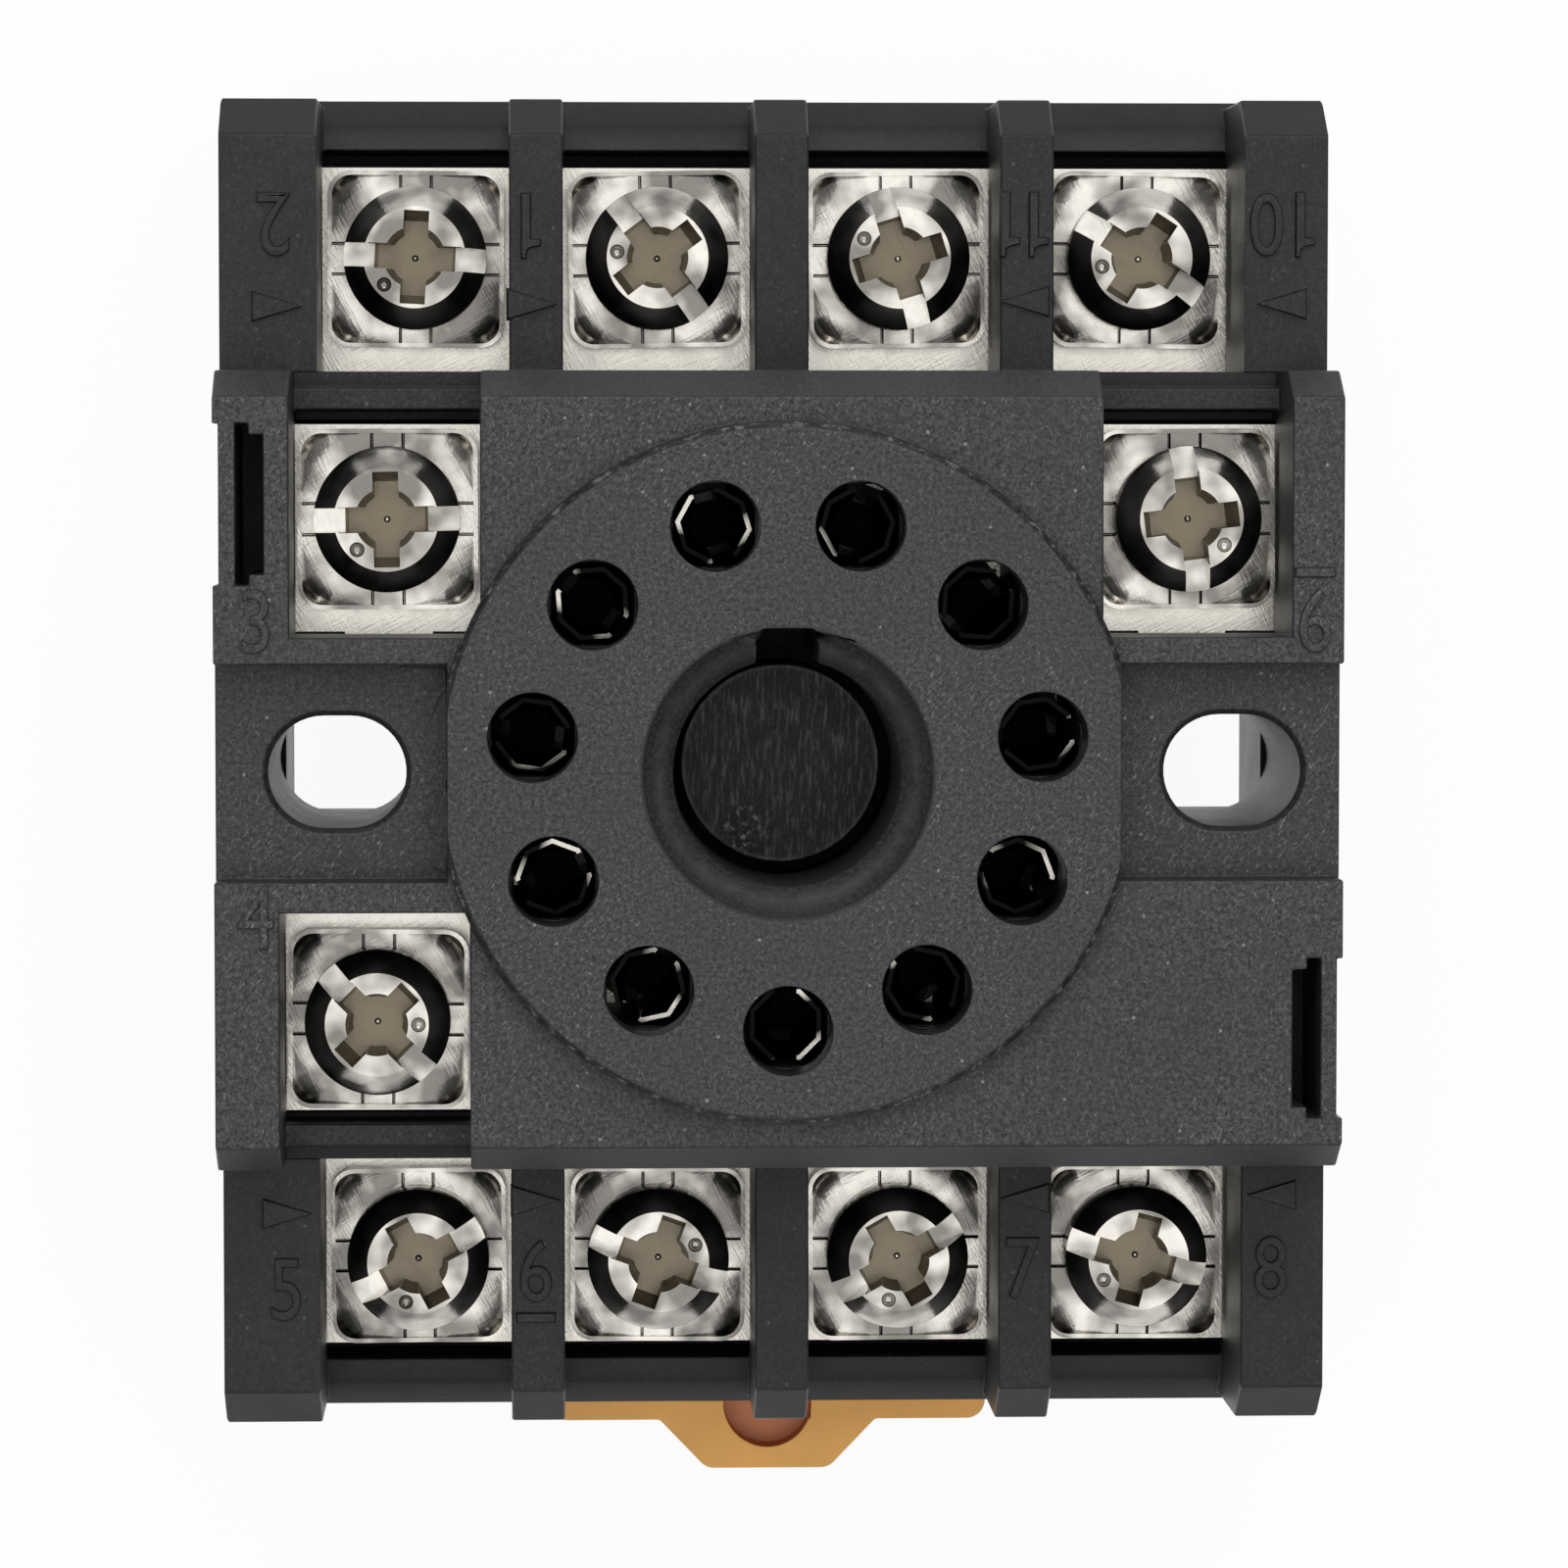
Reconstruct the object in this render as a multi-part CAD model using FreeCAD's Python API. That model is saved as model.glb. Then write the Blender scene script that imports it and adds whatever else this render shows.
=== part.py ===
import FreeCAD, Part
import math
import os

# Eleven-pin relay socket with screw terminals on its front, for a 35 mm rail or a panel.
# +Z points out of the relay face, +Y to the upper terminal row and +X to the right of it.
# Sizes are millimetres. Plan places are counted from the relay axis, heights from the back.

Vector = FreeCAD.Vector

# Body outline
BODY_LEFT = 25.6
BODY_RIGHT = 25.0
BODY_HALF_LENGTH = 30.8
TOTAL_HEIGHT = 30.0
CORNER_RADIUS = 0.6
SHELL_WALL = 1.5
MOULD_GAP = 0.15

# Relay face
DISC_RADIUS = 15.7
DISC_RISE = 1.0
DISC_CHAMFER = 0.3
BLOCK_HALF_LENGTH = 18.0
SHOULDER_RUN = 1.2
SHOULDER_DROP = 2.0

# Centre bore with its keyway, and the post that stands in it
KEY_BORE_RADIUS = 5.1
FUNNEL_RADIUS = 6.5
FUNNEL_DEPTH = 1.4
KEYWAY_WIDTH = 2.8
KEYWAY_REACH = 6.5
KEYWAY_CORNER = 0.45
POST_GAP = 0.5
POST_DEPTH = 10.0
BORE_RELIEF = 0.3

# Relay pins
PIN_COUNT = 11
PIN_CIRCLE = 23.0
PIN_RADIUS = 1.175
PIN_HOLE_RADIUS = 2.0
PIN_HOLE_LAND = 2.8
CLIP_WALL = 0.4
CLIP_GRIP = 0.12
CLIP_SLIT = 1.0
CLIP_SLIT_DEPTH = 8.0
CLIP_AIR = 0.4
CLIP_FOLDS = 8
CLIP_MOUTH_RADIUS = 1.6
CLIP_MOUTH_WALL = 0.2
CLIP_FLARE = 1.2

# Joint between the two mouldings, and the sheet metal that lies in it
SKIRT_HEIGHT = 8.0
CONTACT_HEIGHT = 14.0
SHEET = 0.8
STRIP_WIDTH = 2.6
STRIP_LEAD = 3.2
FOOT_LENGTH = 1.2
SHEET_GAP = 0.15

# Terminal rows at both ends
PITCH = 11.2
END_ROW = 23.3
END_CELL_WIDTH = 8.75
END_PLATE_WIDTH = 9.5
END_PLATE_LENGTH = 10.0
END_PLATE_LIP = 0.2
RIB_HEIGHT = 22.6
RIB_SET_BACK = 0.3
RIB_SLOPE_RUN = 1.75
RIB_SLOPE_DROP = 2.4
SILL_RUN = 2.4
SILL_LIP = 1.15
SILL_RISE = 0.8
SILL_RIDGE_DROP = 0.6
SILL_EDGE_DROP = 2.0
WIRE_GROOVE_DEPTH = 3.0

# Raised terminals beside the disc
MID_LEFT_UPPER = (-17.95, 11.3)
MID_RIGHT_UPPER = (18.4, 11.3)
MID_LEFT_LOWER = (-18.45, -11.5)
MID_PLATE_HEIGHT = 21.2
MID_CELL_WIDTH = 8.5
MID_CELL_BACK = 5.25
MID_PLATE_WIDTH = 9.0
MID_PLATE_LENGTH = 9.45
MID_PLATE_BACK = 5.15
PEDESTAL_INSET = 0.6
LEG_WIDTH = 4.0
MID_SILL_INNER = 16.25
MID_SILL_OUTER = 17.25
MID_SILL_HEIGHT = 24.0
MID_STEP_HEIGHT = 22.5

# Clamping screws and their square washers
SCREW_RADIUS = 1.75
SCREW_LENGTH = 8.0
HEAD_RADIUS = 3.3
HEAD_HEIGHT = 2.9
SLOT_WIDTH = 1.1
SLOT_DEPTH = 1.1
THREAD_GAP = 0.05
WASHER_SIDE = 8.2
WASHER_CORNER = 1.0
WASHER_THICKNESS = 1.4
WASHER_HOLE_GAP = 0.2
SHANK_AIR = 0.35
POCKET_AIR = 0.6

# Fixing ears and slots for the hold-down clip
EAR_SPACING = 40.3
EAR_HALF_WIDTH = 4.85
EAR_DEPTH = 2.5
EAR_LEFT_EDGE = 15.2
EAR_RIGHT_EDGE = 14.9
EAR_SLOT_WIDTH = 5.05
EAR_SLOT_LENGTH = 6.2
EAR_SLOT_CHAMFER = 0.25
EAR_SLOT_AIR = 0.4
CLIP_SLOT_CENTRE = 12.0
CLIP_SLOT_LENGTH = 6.2
CLIP_SLOT_WIDTH = 1.25
CLIP_SLOT_DEPTH = 6.0
CLIP_SLOT_WALL = 1.0
CLIP_SLOT_STEP = 0.6
CLIP_SLOT_STEP_LENGTH = 7.2
CLIP_NOTCH = 0.26

# Rail groove, fixed hook and rail latch
RAIL_WIDTH = 35.0
RAIL_SIDE_GAP = 0.25
RAIL_SHEET = 1.0
RAIL_SEAT_HEIGHT = 5.0
RAIL_SEAT_MARGIN = 2.55
RAIL_SEAT_RELIEF = 0.4
RAIL_BACK_GAP = 0.3
HOOK_REACH = 1.4
HOOK_SLOPE_DROP = 0.7
HOOK_THICKNESS = 1.6
HOOK_HALF_WIDTH = 9.0
LATCH_FLOOR = 0.6
LATCH_HALF_WIDTH = 7.0
LATCH_WING = 1.4
LATCH_WING_THICKNESS = 1.5
LATCH_WING_LENGTH = 10.0
LATCH_GAP = 0.2
LATCH_TRAVEL = 3.0
LATCH_FLANGE_HALF = 10.7
LATCH_FLANGE_LENGTH = 2.15
LATCH_FLANGE_CORNER = 0.9
LATCH_TONGUE_HALF = 5.3
LATCH_TONGUE_END_HALF = 3.0
LATCH_TONGUE_LENGTH = 2.4
LATCH_RECESS_DEPTH = 1.2
LATCH_RECESS_HALF = 3.95
LATCH_RECESS_SHOULDER = 1.2
LATCH_RECESS_RADIUS = 2.15
LATCH_RECESS_REACH = 1.35

# Latch spring and the peg that it bears on
SPRING_WIRE = 0.3
SPRING_DEPTH = 2.0
SPRING_HALF_WIDTH = 2.4
SPRING_RUNS = 5
SPRING_SLACK = 1.8
SPRING_SET_BACK = 4.3
SPRING_AIR = 0.25
PEG_LENGTH = 1.4

# Screws that hold the two mouldings together, entered from the back
BASE_SCREW_PLACES = ((-8.1, 14.9), (9.3, -14.9))
BASE_SCREW_RADIUS = 1.3
BASE_SCREW_LENGTH = 12.0
BASE_SCREW_HEAD_RADIUS = 2.4
BASE_SCREW_HEAD = 1.4
BASE_SCREW_SINK = 0.4
BASE_SCREW_AIR = 0.2
BASE_SCREW_CROSS_LENGTH = 2.4
BASE_SCREW_CROSS_WIDTH = 0.8
BASE_SCREW_CROSS_DEPTH = 1.0

# Slot heading of each clamping screw as it was left, in degrees from +X
SCREW_HEADINGS = {
    1: -53, 2: -3, 3: 1, 4: 135, 5: 28, 6: 160,
    7: 30, 8: -15, 9: 97, 10: -33, 11: -73,
}

# Worked-out heights and places
DECK = TOTAL_HEIGHT - DISC_RISE
PLATE_TOP = CONTACT_HEIGHT + SHEET
MID_PLATE_TOP = MID_PLATE_HEIGHT + SHEET
SILL_TOP = CONTACT_HEIGHT + SILL_RISE
SILL_INNER = BODY_HALF_LENGTH - SILL_RUN
SILL_RIDGE = BODY_HALF_LENGTH - SILL_LIP
END_PLATE_INNER = END_ROW + WASHER_SIDE / 2 + END_PLATE_LIP - END_PLATE_LENGTH
POST_TOP = TOTAL_HEIGHT - POST_DEPTH
LATCH_TOP = RAIL_SEAT_HEIGHT - RAIL_SHEET
GROOVE_HALF = RAIL_WIDTH / 2 + RAIL_SIDE_GAP
RAIL_SEAT_HALF = GROOVE_HALF - RAIL_SEAT_MARGIN
LATCH_STOP = BODY_HALF_LENGTH + MOULD_GAP
LATCH_NOSE = GROOVE_HALF - HOOK_REACH
LATCH_END = LATCH_STOP + LATCH_FLANGE_LENGTH + LATCH_TONGUE_LENGTH
SPRING_ROOM_INNER = LATCH_NOSE + SPRING_SET_BACK
SPRING_LENGTH = LATCH_TRAVEL + SPRING_RUNS * SPRING_WIRE + SPRING_SLACK
SPRING_SEAT = SPRING_ROOM_INNER + SPRING_LENGTH
SPRING_ROOM_OUTER = SPRING_SEAT + PEG_LENGTH + LATCH_GAP
TOP_ROW = (2, 1, 11, 10)
BOTTOM_ROW = (5, 6, 7, 8)
MID_SITES = {3: MID_LEFT_UPPER, 9: MID_RIGHT_UPPER, 4: MID_LEFT_LOWER}
EAR_PLACES = (-EAR_SPACING / 2, EAR_SPACING / 2)

# The part's origin is the middle of its outline on the back plane
ORIGIN_X = (BODY_RIGHT - BODY_LEFT) / 2
ORIGIN_Y = (BODY_HALF_LENGTH - LATCH_END) / 2


def box(x0, x1, y0, y1, z0, z1):
    return Part.makeBox(x1 - x0, y1 - y0, z1 - z0, Vector(x0, y0, z0))


def cylinder(radius, z0, z1, x=0.0, y=0.0):
    return Part.makeCylinder(radius, z1 - z0, Vector(x, y, z0))


def polygon_face(points):
    return Part.Face(Part.makePolygon(points + [points[0]]))


def prism_along_x(outline, x0, x1):
    face = polygon_face([Vector(x0, y, z) for y, z in outline])
    return face.extrude(Vector(x1 - x0, 0, 0))


def prism_along_z(outline, z0, z1):
    face = polygon_face([Vector(x, y, z0) for x, y in outline])
    return face.extrude(Vector(0, 0, z1 - z0))


def revolved(outline, x=0.0, y=0.0):
    """Turn an outline of (radius, height) pairs about an upright axis at x, y."""
    face = polygon_face([Vector(x + radius, y, z) for radius, z in outline])
    return face.revolve(Vector(x, y, 0), Vector(0, 0, 1), 360)


def upright_edges(shape):
    return [edge for edge in shape.Edges if is_upright(edge)]


def edges_at_end(shape, y):
    """The upright edges at the end of a shape that lies at y."""
    return [edge for edge in upright_edges(shape) if abs(edge.Vertexes[0].Point.y - y) < 1e-6]


def is_upright(edge):
    start = edge.Vertexes[0].Point
    end = edge.Vertexes[-1].Point
    return abs(start.x - end.x) < 1e-6 and abs(start.y - end.y) < 1e-6


def rounded_box(x0, x1, y0, y1, z0, z1, radius):
    block = box(x0, x1, y0, y1, z0, z1)
    return block.makeFillet(radius, upright_edges(block))


def stadium(x, y, width, length, z):
    """The outline of a slot, round at both ends, whose long side lies along X."""
    reach = (length - width) / 2
    half = width / 2
    signs = ((-1, -1), (1, -1), (1, 1), (-1, 1))
    corners = [Vector(x + along * reach, y + across * half, z) for along, across in signs]
    right = Part.Arc(corners[1], Vector(x + length / 2, y, z), corners[2]).toShape()
    left = Part.Arc(corners[3], Vector(x - length / 2, y, z), corners[0]).toShape()
    lower = Part.makeLine(corners[0], corners[1])
    upper = Part.makeLine(corners[2], corners[3])
    return Part.Wire([lower, right, upper, left])


def strip_between(start, end, width, z0, z1):
    """A straight bar in plan from start to end, with square ends."""
    dx = end[0] - start[0]
    dy = end[1] - start[1]
    bar = box(0, math.hypot(dx, dy), -width / 2, width / 2, z0, z1)
    bar.rotate(Vector(0, 0, 0), Vector(0, 0, 1), math.degrees(math.atan2(dy, dx)))
    bar.translate(Vector(start[0], start[1], 0))
    return bar


def mirrored_in_y(shape):
    return shape.mirror(Vector(0, 0, 0), Vector(0, 1, 0))


def facing(shape, outward):
    """Turn a shape drawn for the +Y side over to the side that outward names."""
    return shape if outward > 0 else mirrored_in_y(shape)


def both_ends(shape):
    return [shape, mirrored_in_y(shape)]


def pin_place(number):
    angle = math.radians(90 + 360 / PIN_COUNT * (number - 0.5))
    return (PIN_CIRCLE / 2 * math.cos(angle), PIN_CIRCLE / 2 * math.sin(angle))


def end_column(number):
    row = TOP_ROW if number in TOP_ROW else BOTTOM_ROW
    return (row.index(number) - (len(row) - 1) / 2) * PITCH


def terminal_place(number):
    if number in MID_SITES:
        return MID_SITES[number]
    side = 1 if number in TOP_ROW else -1
    return (end_column(number), side * END_ROW)


def plate_top(number):
    return MID_PLATE_TOP if number in MID_SITES else PLATE_TOP


def outward_side(number):
    return 1 if terminal_place(number)[1] > 0 else -1


# Upper moulding


def middle_block():
    """The block round the disc, with sloping shoulders towards the terminal rows."""
    flat = BLOCK_HALF_LENGTH - SHOULDER_RUN
    outline = [(-BLOCK_HALF_LENGTH, SKIRT_HEIGHT), (BLOCK_HALF_LENGTH, SKIRT_HEIGHT)]
    outline += [(BLOCK_HALF_LENGTH, DECK - SHOULDER_DROP), (flat, DECK)]
    outline += [(-flat, DECK), (-BLOCK_HALF_LENGTH, DECK - SHOULDER_DROP)]
    return prism_along_x(outline, -BODY_LEFT, BODY_RIGHT)


def end_ribs():
    """One end's barrier ribs, with their tops sloping off at the outer end."""
    outer = BODY_HALF_LENGTH - RIB_SET_BACK
    outline = [(0, SKIRT_HEIGHT), (outer, SKIRT_HEIGHT), (outer, RIB_HEIGHT - RIB_SLOPE_DROP)]
    outline += [(outer - RIB_SLOPE_RUN, RIB_HEIGHT), (0, RIB_HEIGHT)]
    ribs = prism_along_x(outline, -BODY_LEFT, BODY_RIGHT)
    cells = []
    for column in range(len(TOP_ROW)):
        x = (column - (len(TOP_ROW) - 1) / 2) * PITCH
        half = END_CELL_WIDTH / 2
        cells.append(box(x - half, x + half, BLOCK_HALF_LENGTH, BODY_HALF_LENGTH, 0, TOTAL_HEIGHT))
    return ribs.cut(Part.makeCompound(cells))


def end_sill():
    """The sloping sill in front of one end's terminals, down to the skirt."""
    ridge = SILL_TOP - SILL_RIDGE_DROP
    outline = [(SILL_INNER, SKIRT_HEIGHT), (BODY_HALF_LENGTH, SKIRT_HEIGHT)]
    outline += [(BODY_HALF_LENGTH, SILL_TOP - SILL_EDGE_DROP), (SILL_RIDGE, ridge)]
    outline += [(SILL_INNER, SILL_TOP)]
    return prism_along_x(outline, -BODY_LEFT, BODY_RIGHT)


def housing_outside():
    shapes = both_ends(end_ribs()) + both_ends(end_sill())
    body = middle_block().multiFuse(shapes).removeSplitter()
    limits = (-BODY_LEFT, BODY_RIGHT, -BODY_HALF_LENGTH, BODY_HALF_LENGTH)
    return body.common(rounded_box(*limits, SKIRT_HEIGHT, TOTAL_HEIGHT, CORNER_RADIUS))


def skirt_cavity():
    """The room inside the skirt that the lower moulding fills."""
    x0 = -BODY_LEFT + SHELL_WALL
    x1 = BODY_RIGHT - SHELL_WALL
    y1 = BODY_HALF_LENGTH - SHELL_WALL
    return box(x0, x1, -y1, y1, SKIRT_HEIGHT, CONTACT_HEIGHT)


def relay_disc():
    outline = [(0, MID_PLATE_TOP + SHEET_GAP), (DISC_RADIUS, MID_PLATE_TOP + SHEET_GAP)]
    outline += [(DISC_RADIUS, TOTAL_HEIGHT - DISC_CHAMFER)]
    outline += [(DISC_RADIUS - DISC_CHAMFER, TOTAL_HEIGHT), (0, TOTAL_HEIGHT)]
    return revolved(outline)


def ear_recesses():
    floor = TOTAL_HEIGHT - EAR_DEPTH
    half = EAR_HALF_WIDTH
    left = box(-BODY_LEFT, -EAR_LEFT_EDGE, -half, half, floor, TOTAL_HEIGHT)
    right = box(EAR_RIGHT_EDGE, BODY_RIGHT, -half, half, floor, TOTAL_HEIGHT)
    return [left, right]


def ear_slot(x):
    """A slotted fixing hole with a bevelled rim."""
    floor = TOTAL_HEIGHT - EAR_DEPTH
    bevel = EAR_SLOT_CHAMFER
    wire = stadium(x, 0, EAR_SLOT_WIDTH, EAR_SLOT_LENGTH, SKIRT_HEIGHT)
    slot = Part.Face(wire).extrude(Vector(0, 0, floor - SKIRT_HEIGHT))
    low = stadium(x, 0, EAR_SLOT_WIDTH, EAR_SLOT_LENGTH, floor - bevel)
    high = stadium(x, 0, EAR_SLOT_WIDTH + 2 * bevel, EAR_SLOT_LENGTH + 2 * bevel, floor)
    return slot.fuse(Part.makeLoft([low, high], True, True))


def centre_bore():
    """Funnel, guide bore, relief below it and the keyway at +Y."""
    mouth = TOTAL_HEIGHT - FUNNEL_DEPTH
    relief = KEY_BORE_RADIUS + BORE_RELIEF
    outline = [(0, SKIRT_HEIGHT), (relief, SKIRT_HEIGHT), (relief, POST_TOP + BORE_RELIEF)]
    outline += [(KEY_BORE_RADIUS, POST_TOP + BORE_RELIEF), (KEY_BORE_RADIUS, mouth)]
    outline += [(FUNNEL_RADIUS, TOTAL_HEIGHT), (0, TOTAL_HEIGHT)]
    half = KEYWAY_WIDTH / 2
    keyway = rounded_box(-half, half, 0, KEYWAY_REACH, CONTACT_HEIGHT, TOTAL_HEIGHT, KEYWAY_CORNER)
    return revolved(outline).fuse(keyway)


def pin_well(number):
    """A round hole over the wider square chamber of the contact clip."""
    x, y = pin_place(number)
    land = TOTAL_HEIGHT - PIN_HOLE_LAND
    half = clip_outer_radius() + CLIP_AIR
    chamber = box(x - half, x + half, y - half, y + half, CONTACT_HEIGHT, land)
    return chamber.fuse(cylinder(PIN_HOLE_RADIUS, land, TOTAL_HEIGHT, x, y))


def mid_cell(number):
    """The open-fronted cell of a raised terminal, its sill and the step outside it."""
    x, y = terminal_place(number)
    back = abs(y) - MID_CELL_BACK
    x0 = x - MID_CELL_WIDTH / 2
    x1 = x + MID_CELL_WIDTH / 2
    front = BLOCK_HALF_LENGTH
    room = box(x0, x1, back, MID_SILL_INNER, MID_PLATE_TOP, TOTAL_HEIGHT)
    over_sill = box(x0, x1, back, front, MID_SILL_HEIGHT, TOTAL_HEIGHT)
    step = box(x0, x1, MID_SILL_OUTER, front, MID_STEP_HEIGHT, TOTAL_HEIGHT)
    plate_end = mid_plate_back(number) + MID_PLATE_LENGTH + SHEET_GAP
    groove = box(x0, x1, plate_end, MID_SILL_INNER, MID_PLATE_HEIGHT, TOTAL_HEIGHT)
    cell = room.multiFuse([over_sill, step, groove]).removeSplitter()
    return facing(cell, outward_side(number)).cut(cylinder(DISC_RADIUS, 0, TOTAL_HEIGHT))


def mid_plate_back(number):
    return abs(terminal_place(number)[1]) - MID_PLATE_BACK


def mid_plate_room(number):
    """The pocket under a raised terminal for its plate, its leg and the pedestal."""
    x = terminal_place(number)[0]
    half = MID_PLATE_WIDTH / 2 + SHEET_GAP
    back = mid_plate_back(number)
    top = MID_PLATE_TOP + SHEET_GAP
    front = back + MID_PLATE_LENGTH + SHEET_GAP
    plate_room = box(x - half, x + half, back, front, CONTACT_HEIGHT, top)
    leg_half = LEG_WIDTH / 2 + SHEET_GAP
    leg_back = back - SHEET - SHEET_GAP
    leg_room = box(x - leg_half, x + leg_half, leg_back, back, CONTACT_HEIGHT, top)
    foot_back = leg_back - FOOT_LENGTH
    foot_top = PLATE_TOP + SHEET_GAP
    foot_room = box(x - leg_half, x + leg_half, foot_back, back, CONTACT_HEIGHT, foot_top)
    return facing(plate_room.multiFuse([leg_room, foot_room]), outward_side(number))


def strip_room(number):
    """The channel in the joint plane over one contact's strip."""
    start = strip_start(number)
    width = STRIP_WIDTH + 2 * SHEET_GAP
    top = PLATE_TOP + SHEET_GAP
    return strip_between(start, pin_place(number), width, CONTACT_HEIGHT, top)


def strip_start(number):
    """Where a contact's strip leaves its foot or its plate, led towards the relay axis."""
    x = terminal_place(number)[0]
    inward = -1 if x > 0 else 1
    if number in MID_SITES:
        lead = inward * (LEG_WIDTH - STRIP_WIDTH) / 2
        return (x + lead, outward_side(number) * (mid_plate_back(number) - SHEET - FOOT_LENGTH))
    lead = inward * STRIP_LEAD if abs(x) > PITCH else 0
    return (x + lead, outward_side(number) * (END_PLATE_INNER + STRIP_WIDTH / 2))


def end_plate_room(number):
    x = terminal_place(number)[0]
    half = END_PLATE_WIDTH / 2 + SHEET_GAP
    y0 = END_PLATE_INNER - SHEET_GAP
    y1 = END_PLATE_INNER + END_PLATE_LENGTH + SHEET_GAP
    room = box(x - half, x + half, y0, y1, CONTACT_HEIGHT, PLATE_TOP + SHEET_GAP)
    return facing(room, outward_side(number))


def contact_rooms():
    rooms = []
    for number in range(1, PIN_COUNT + 1):
        rooms.append(strip_room(number))
        rooms.append(mid_plate_room(number) if number in MID_SITES else end_plate_room(number))
    return rooms


def hold_down_slot(outer_face, side):
    """A slot for the foot of a hold-down clip, with the outer wall thinned beside it."""
    y0 = CLIP_SLOT_CENTRE - CLIP_SLOT_LENGTH / 2
    y1 = CLIP_SLOT_CENTRE + CLIP_SLOT_LENGTH / 2
    step0 = CLIP_SLOT_CENTRE - CLIP_SLOT_STEP_LENGTH / 2
    step1 = CLIP_SLOT_CENTRE + CLIP_SLOT_STEP_LENGTH / 2
    floor = DECK - CLIP_SLOT_DEPTH
    wall = outer_face - CLIP_SLOT_WALL
    slot = box(wall - CLIP_SLOT_WIDTH, wall, y0, y1, floor, DECK)
    step = box(wall - CLIP_SLOT_STEP, wall, step0, step1, floor, DECK)
    notch = box(outer_face - CLIP_NOTCH, outer_face, step0, step1, floor, DECK)
    shape = Part.makeCompound([slot.fuse(step).removeSplitter(), notch])
    if side < 0:
        return shape.mirror(Vector(0, 0, 0), Vector(1, 0, 0))
    return mirrored_in_y(shape)


def base_screw_pilot(x, y):
    tip = base_screw_seat() + BASE_SCREW_LENGTH + BASE_SCREW_AIR
    return cylinder(BASE_SCREW_RADIUS + THREAD_GAP, CONTACT_HEIGHT, tip, x, y)


def housing():
    body = housing_outside().cut(skirt_cavity())
    body = body.cut(Part.makeCompound([mid_cell(number) for number in MID_SITES]))
    body = body.fuse(relay_disc()).removeSplitter()
    body = body.cut(Part.makeCompound(ear_recesses()))
    wells = [pin_well(number) for number in range(1, PIN_COUNT + 1)]
    body = body.cut(Part.makeCompound(wells + [centre_bore()]))
    for room in contact_rooms():
        body = body.cut(room)
    holes = [ear_slot(x) for x in EAR_PLACES]
    holes += [base_screw_pilot(x, y) for x, y in BASE_SCREW_PLACES]
    holes += [hold_down_slot(BODY_LEFT, -1), hold_down_slot(BODY_RIGHT, 1)]
    return body.cut(Part.makeCompound(holes))


# Lower moulding


def base_block():
    limits = (-BODY_LEFT, BODY_RIGHT, -BODY_HALF_LENGTH, BODY_HALF_LENGTH)
    foot = rounded_box(*limits, 0, SKIRT_HEIGHT, CORNER_RADIUS)
    inset = SHELL_WALL + MOULD_GAP
    x0 = -BODY_LEFT + inset
    x1 = BODY_RIGHT - inset
    y1 = BODY_HALF_LENGTH - inset
    plateau = box(x0, x1, -y1, y1, 0, CONTACT_HEIGHT)
    grooves = both_ends(wire_groove())
    return foot.fuse(plateau).removeSplitter().cut(Part.makeCompound(grooves))


def wire_groove():
    """A groove beyond the terminal plates, where a wire's end drops clear of the sill."""
    y0 = END_PLATE_INNER + END_PLATE_LENGTH + SHEET_GAP
    depth = CONTACT_HEIGHT - WIRE_GROOVE_DEPTH
    return box(-BODY_LEFT, BODY_RIGHT, y0, SILL_INNER, depth, TOTAL_HEIGHT)


def pedestal(number):
    """The tower that carries a raised terminal's plate."""
    x = terminal_place(number)[0]
    half = MID_PLATE_WIDTH / 2 - PEDESTAL_INSET
    back = mid_plate_back(number) + MOULD_GAP
    front = mid_plate_back(number) + MID_PLATE_LENGTH
    tower = box(x - half, x + half, back, front, CONTACT_HEIGHT, MID_PLATE_HEIGHT)
    return facing(tower, outward_side(number))


def screw_pocket(number):
    """The blind square hole that the clamping screw's shank runs down into."""
    x, y = terminal_place(number)
    seat = plate_top(number)
    floor = seat + WASHER_THICKNESS - SCREW_LENGTH - POCKET_AIR
    half = SCREW_RADIUS + SHANK_AIR
    return box(x - half, x + half, y - half, y + half, floor, seat)


def rail_groove():
    """The groove across the back, with a raised seat in it for the rail's face."""
    x0 = -BODY_LEFT
    x1 = BODY_RIGHT
    groove = box(x0, x1, -GROOVE_HALF, GROOVE_HALF, 0, RAIL_SEAT_HEIGHT)
    top = RAIL_SEAT_HEIGHT + RAIL_SEAT_RELIEF
    relief = box(x0, x1, RAIL_SEAT_HALF, GROOVE_HALF, 0, top)
    return groove.multiFuse(both_ends(relief)).removeSplitter()


def fixed_hook():
    """The lip that holds the rail's upper flange."""
    top = LATCH_TOP - RAIL_BACK_GAP
    outline = [(GROOVE_HALF, top - HOOK_THICKNESS - HOOK_SLOPE_DROP), (GROOVE_HALF, top)]
    outline += [(LATCH_NOSE, top), (LATCH_NOSE, top - HOOK_THICKNESS)]
    return prism_along_x(outline, -HOOK_HALF_WIDTH, HOOK_HALF_WIDTH)


def latch_way():
    """The guide for the latch, wider at its roof than at its mouth."""
    half = LATCH_HALF_WIDTH + LATCH_GAP
    roof = LATCH_TOP + LATCH_GAP
    wing_floor = LATCH_TOP - LATCH_WING_THICKNESS - LATCH_GAP
    channel = box(-half, half, -BODY_HALF_LENGTH, -GROOVE_HALF, 0, roof)
    wide = half + LATCH_WING
    wing_end = LATCH_STOP - LATCH_WING_LENGTH - LATCH_GAP
    wings = box(-wide, wide, -BODY_HALF_LENGTH, -wing_end, wing_floor, roof)
    return channel.fuse(wings).removeSplitter()


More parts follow.
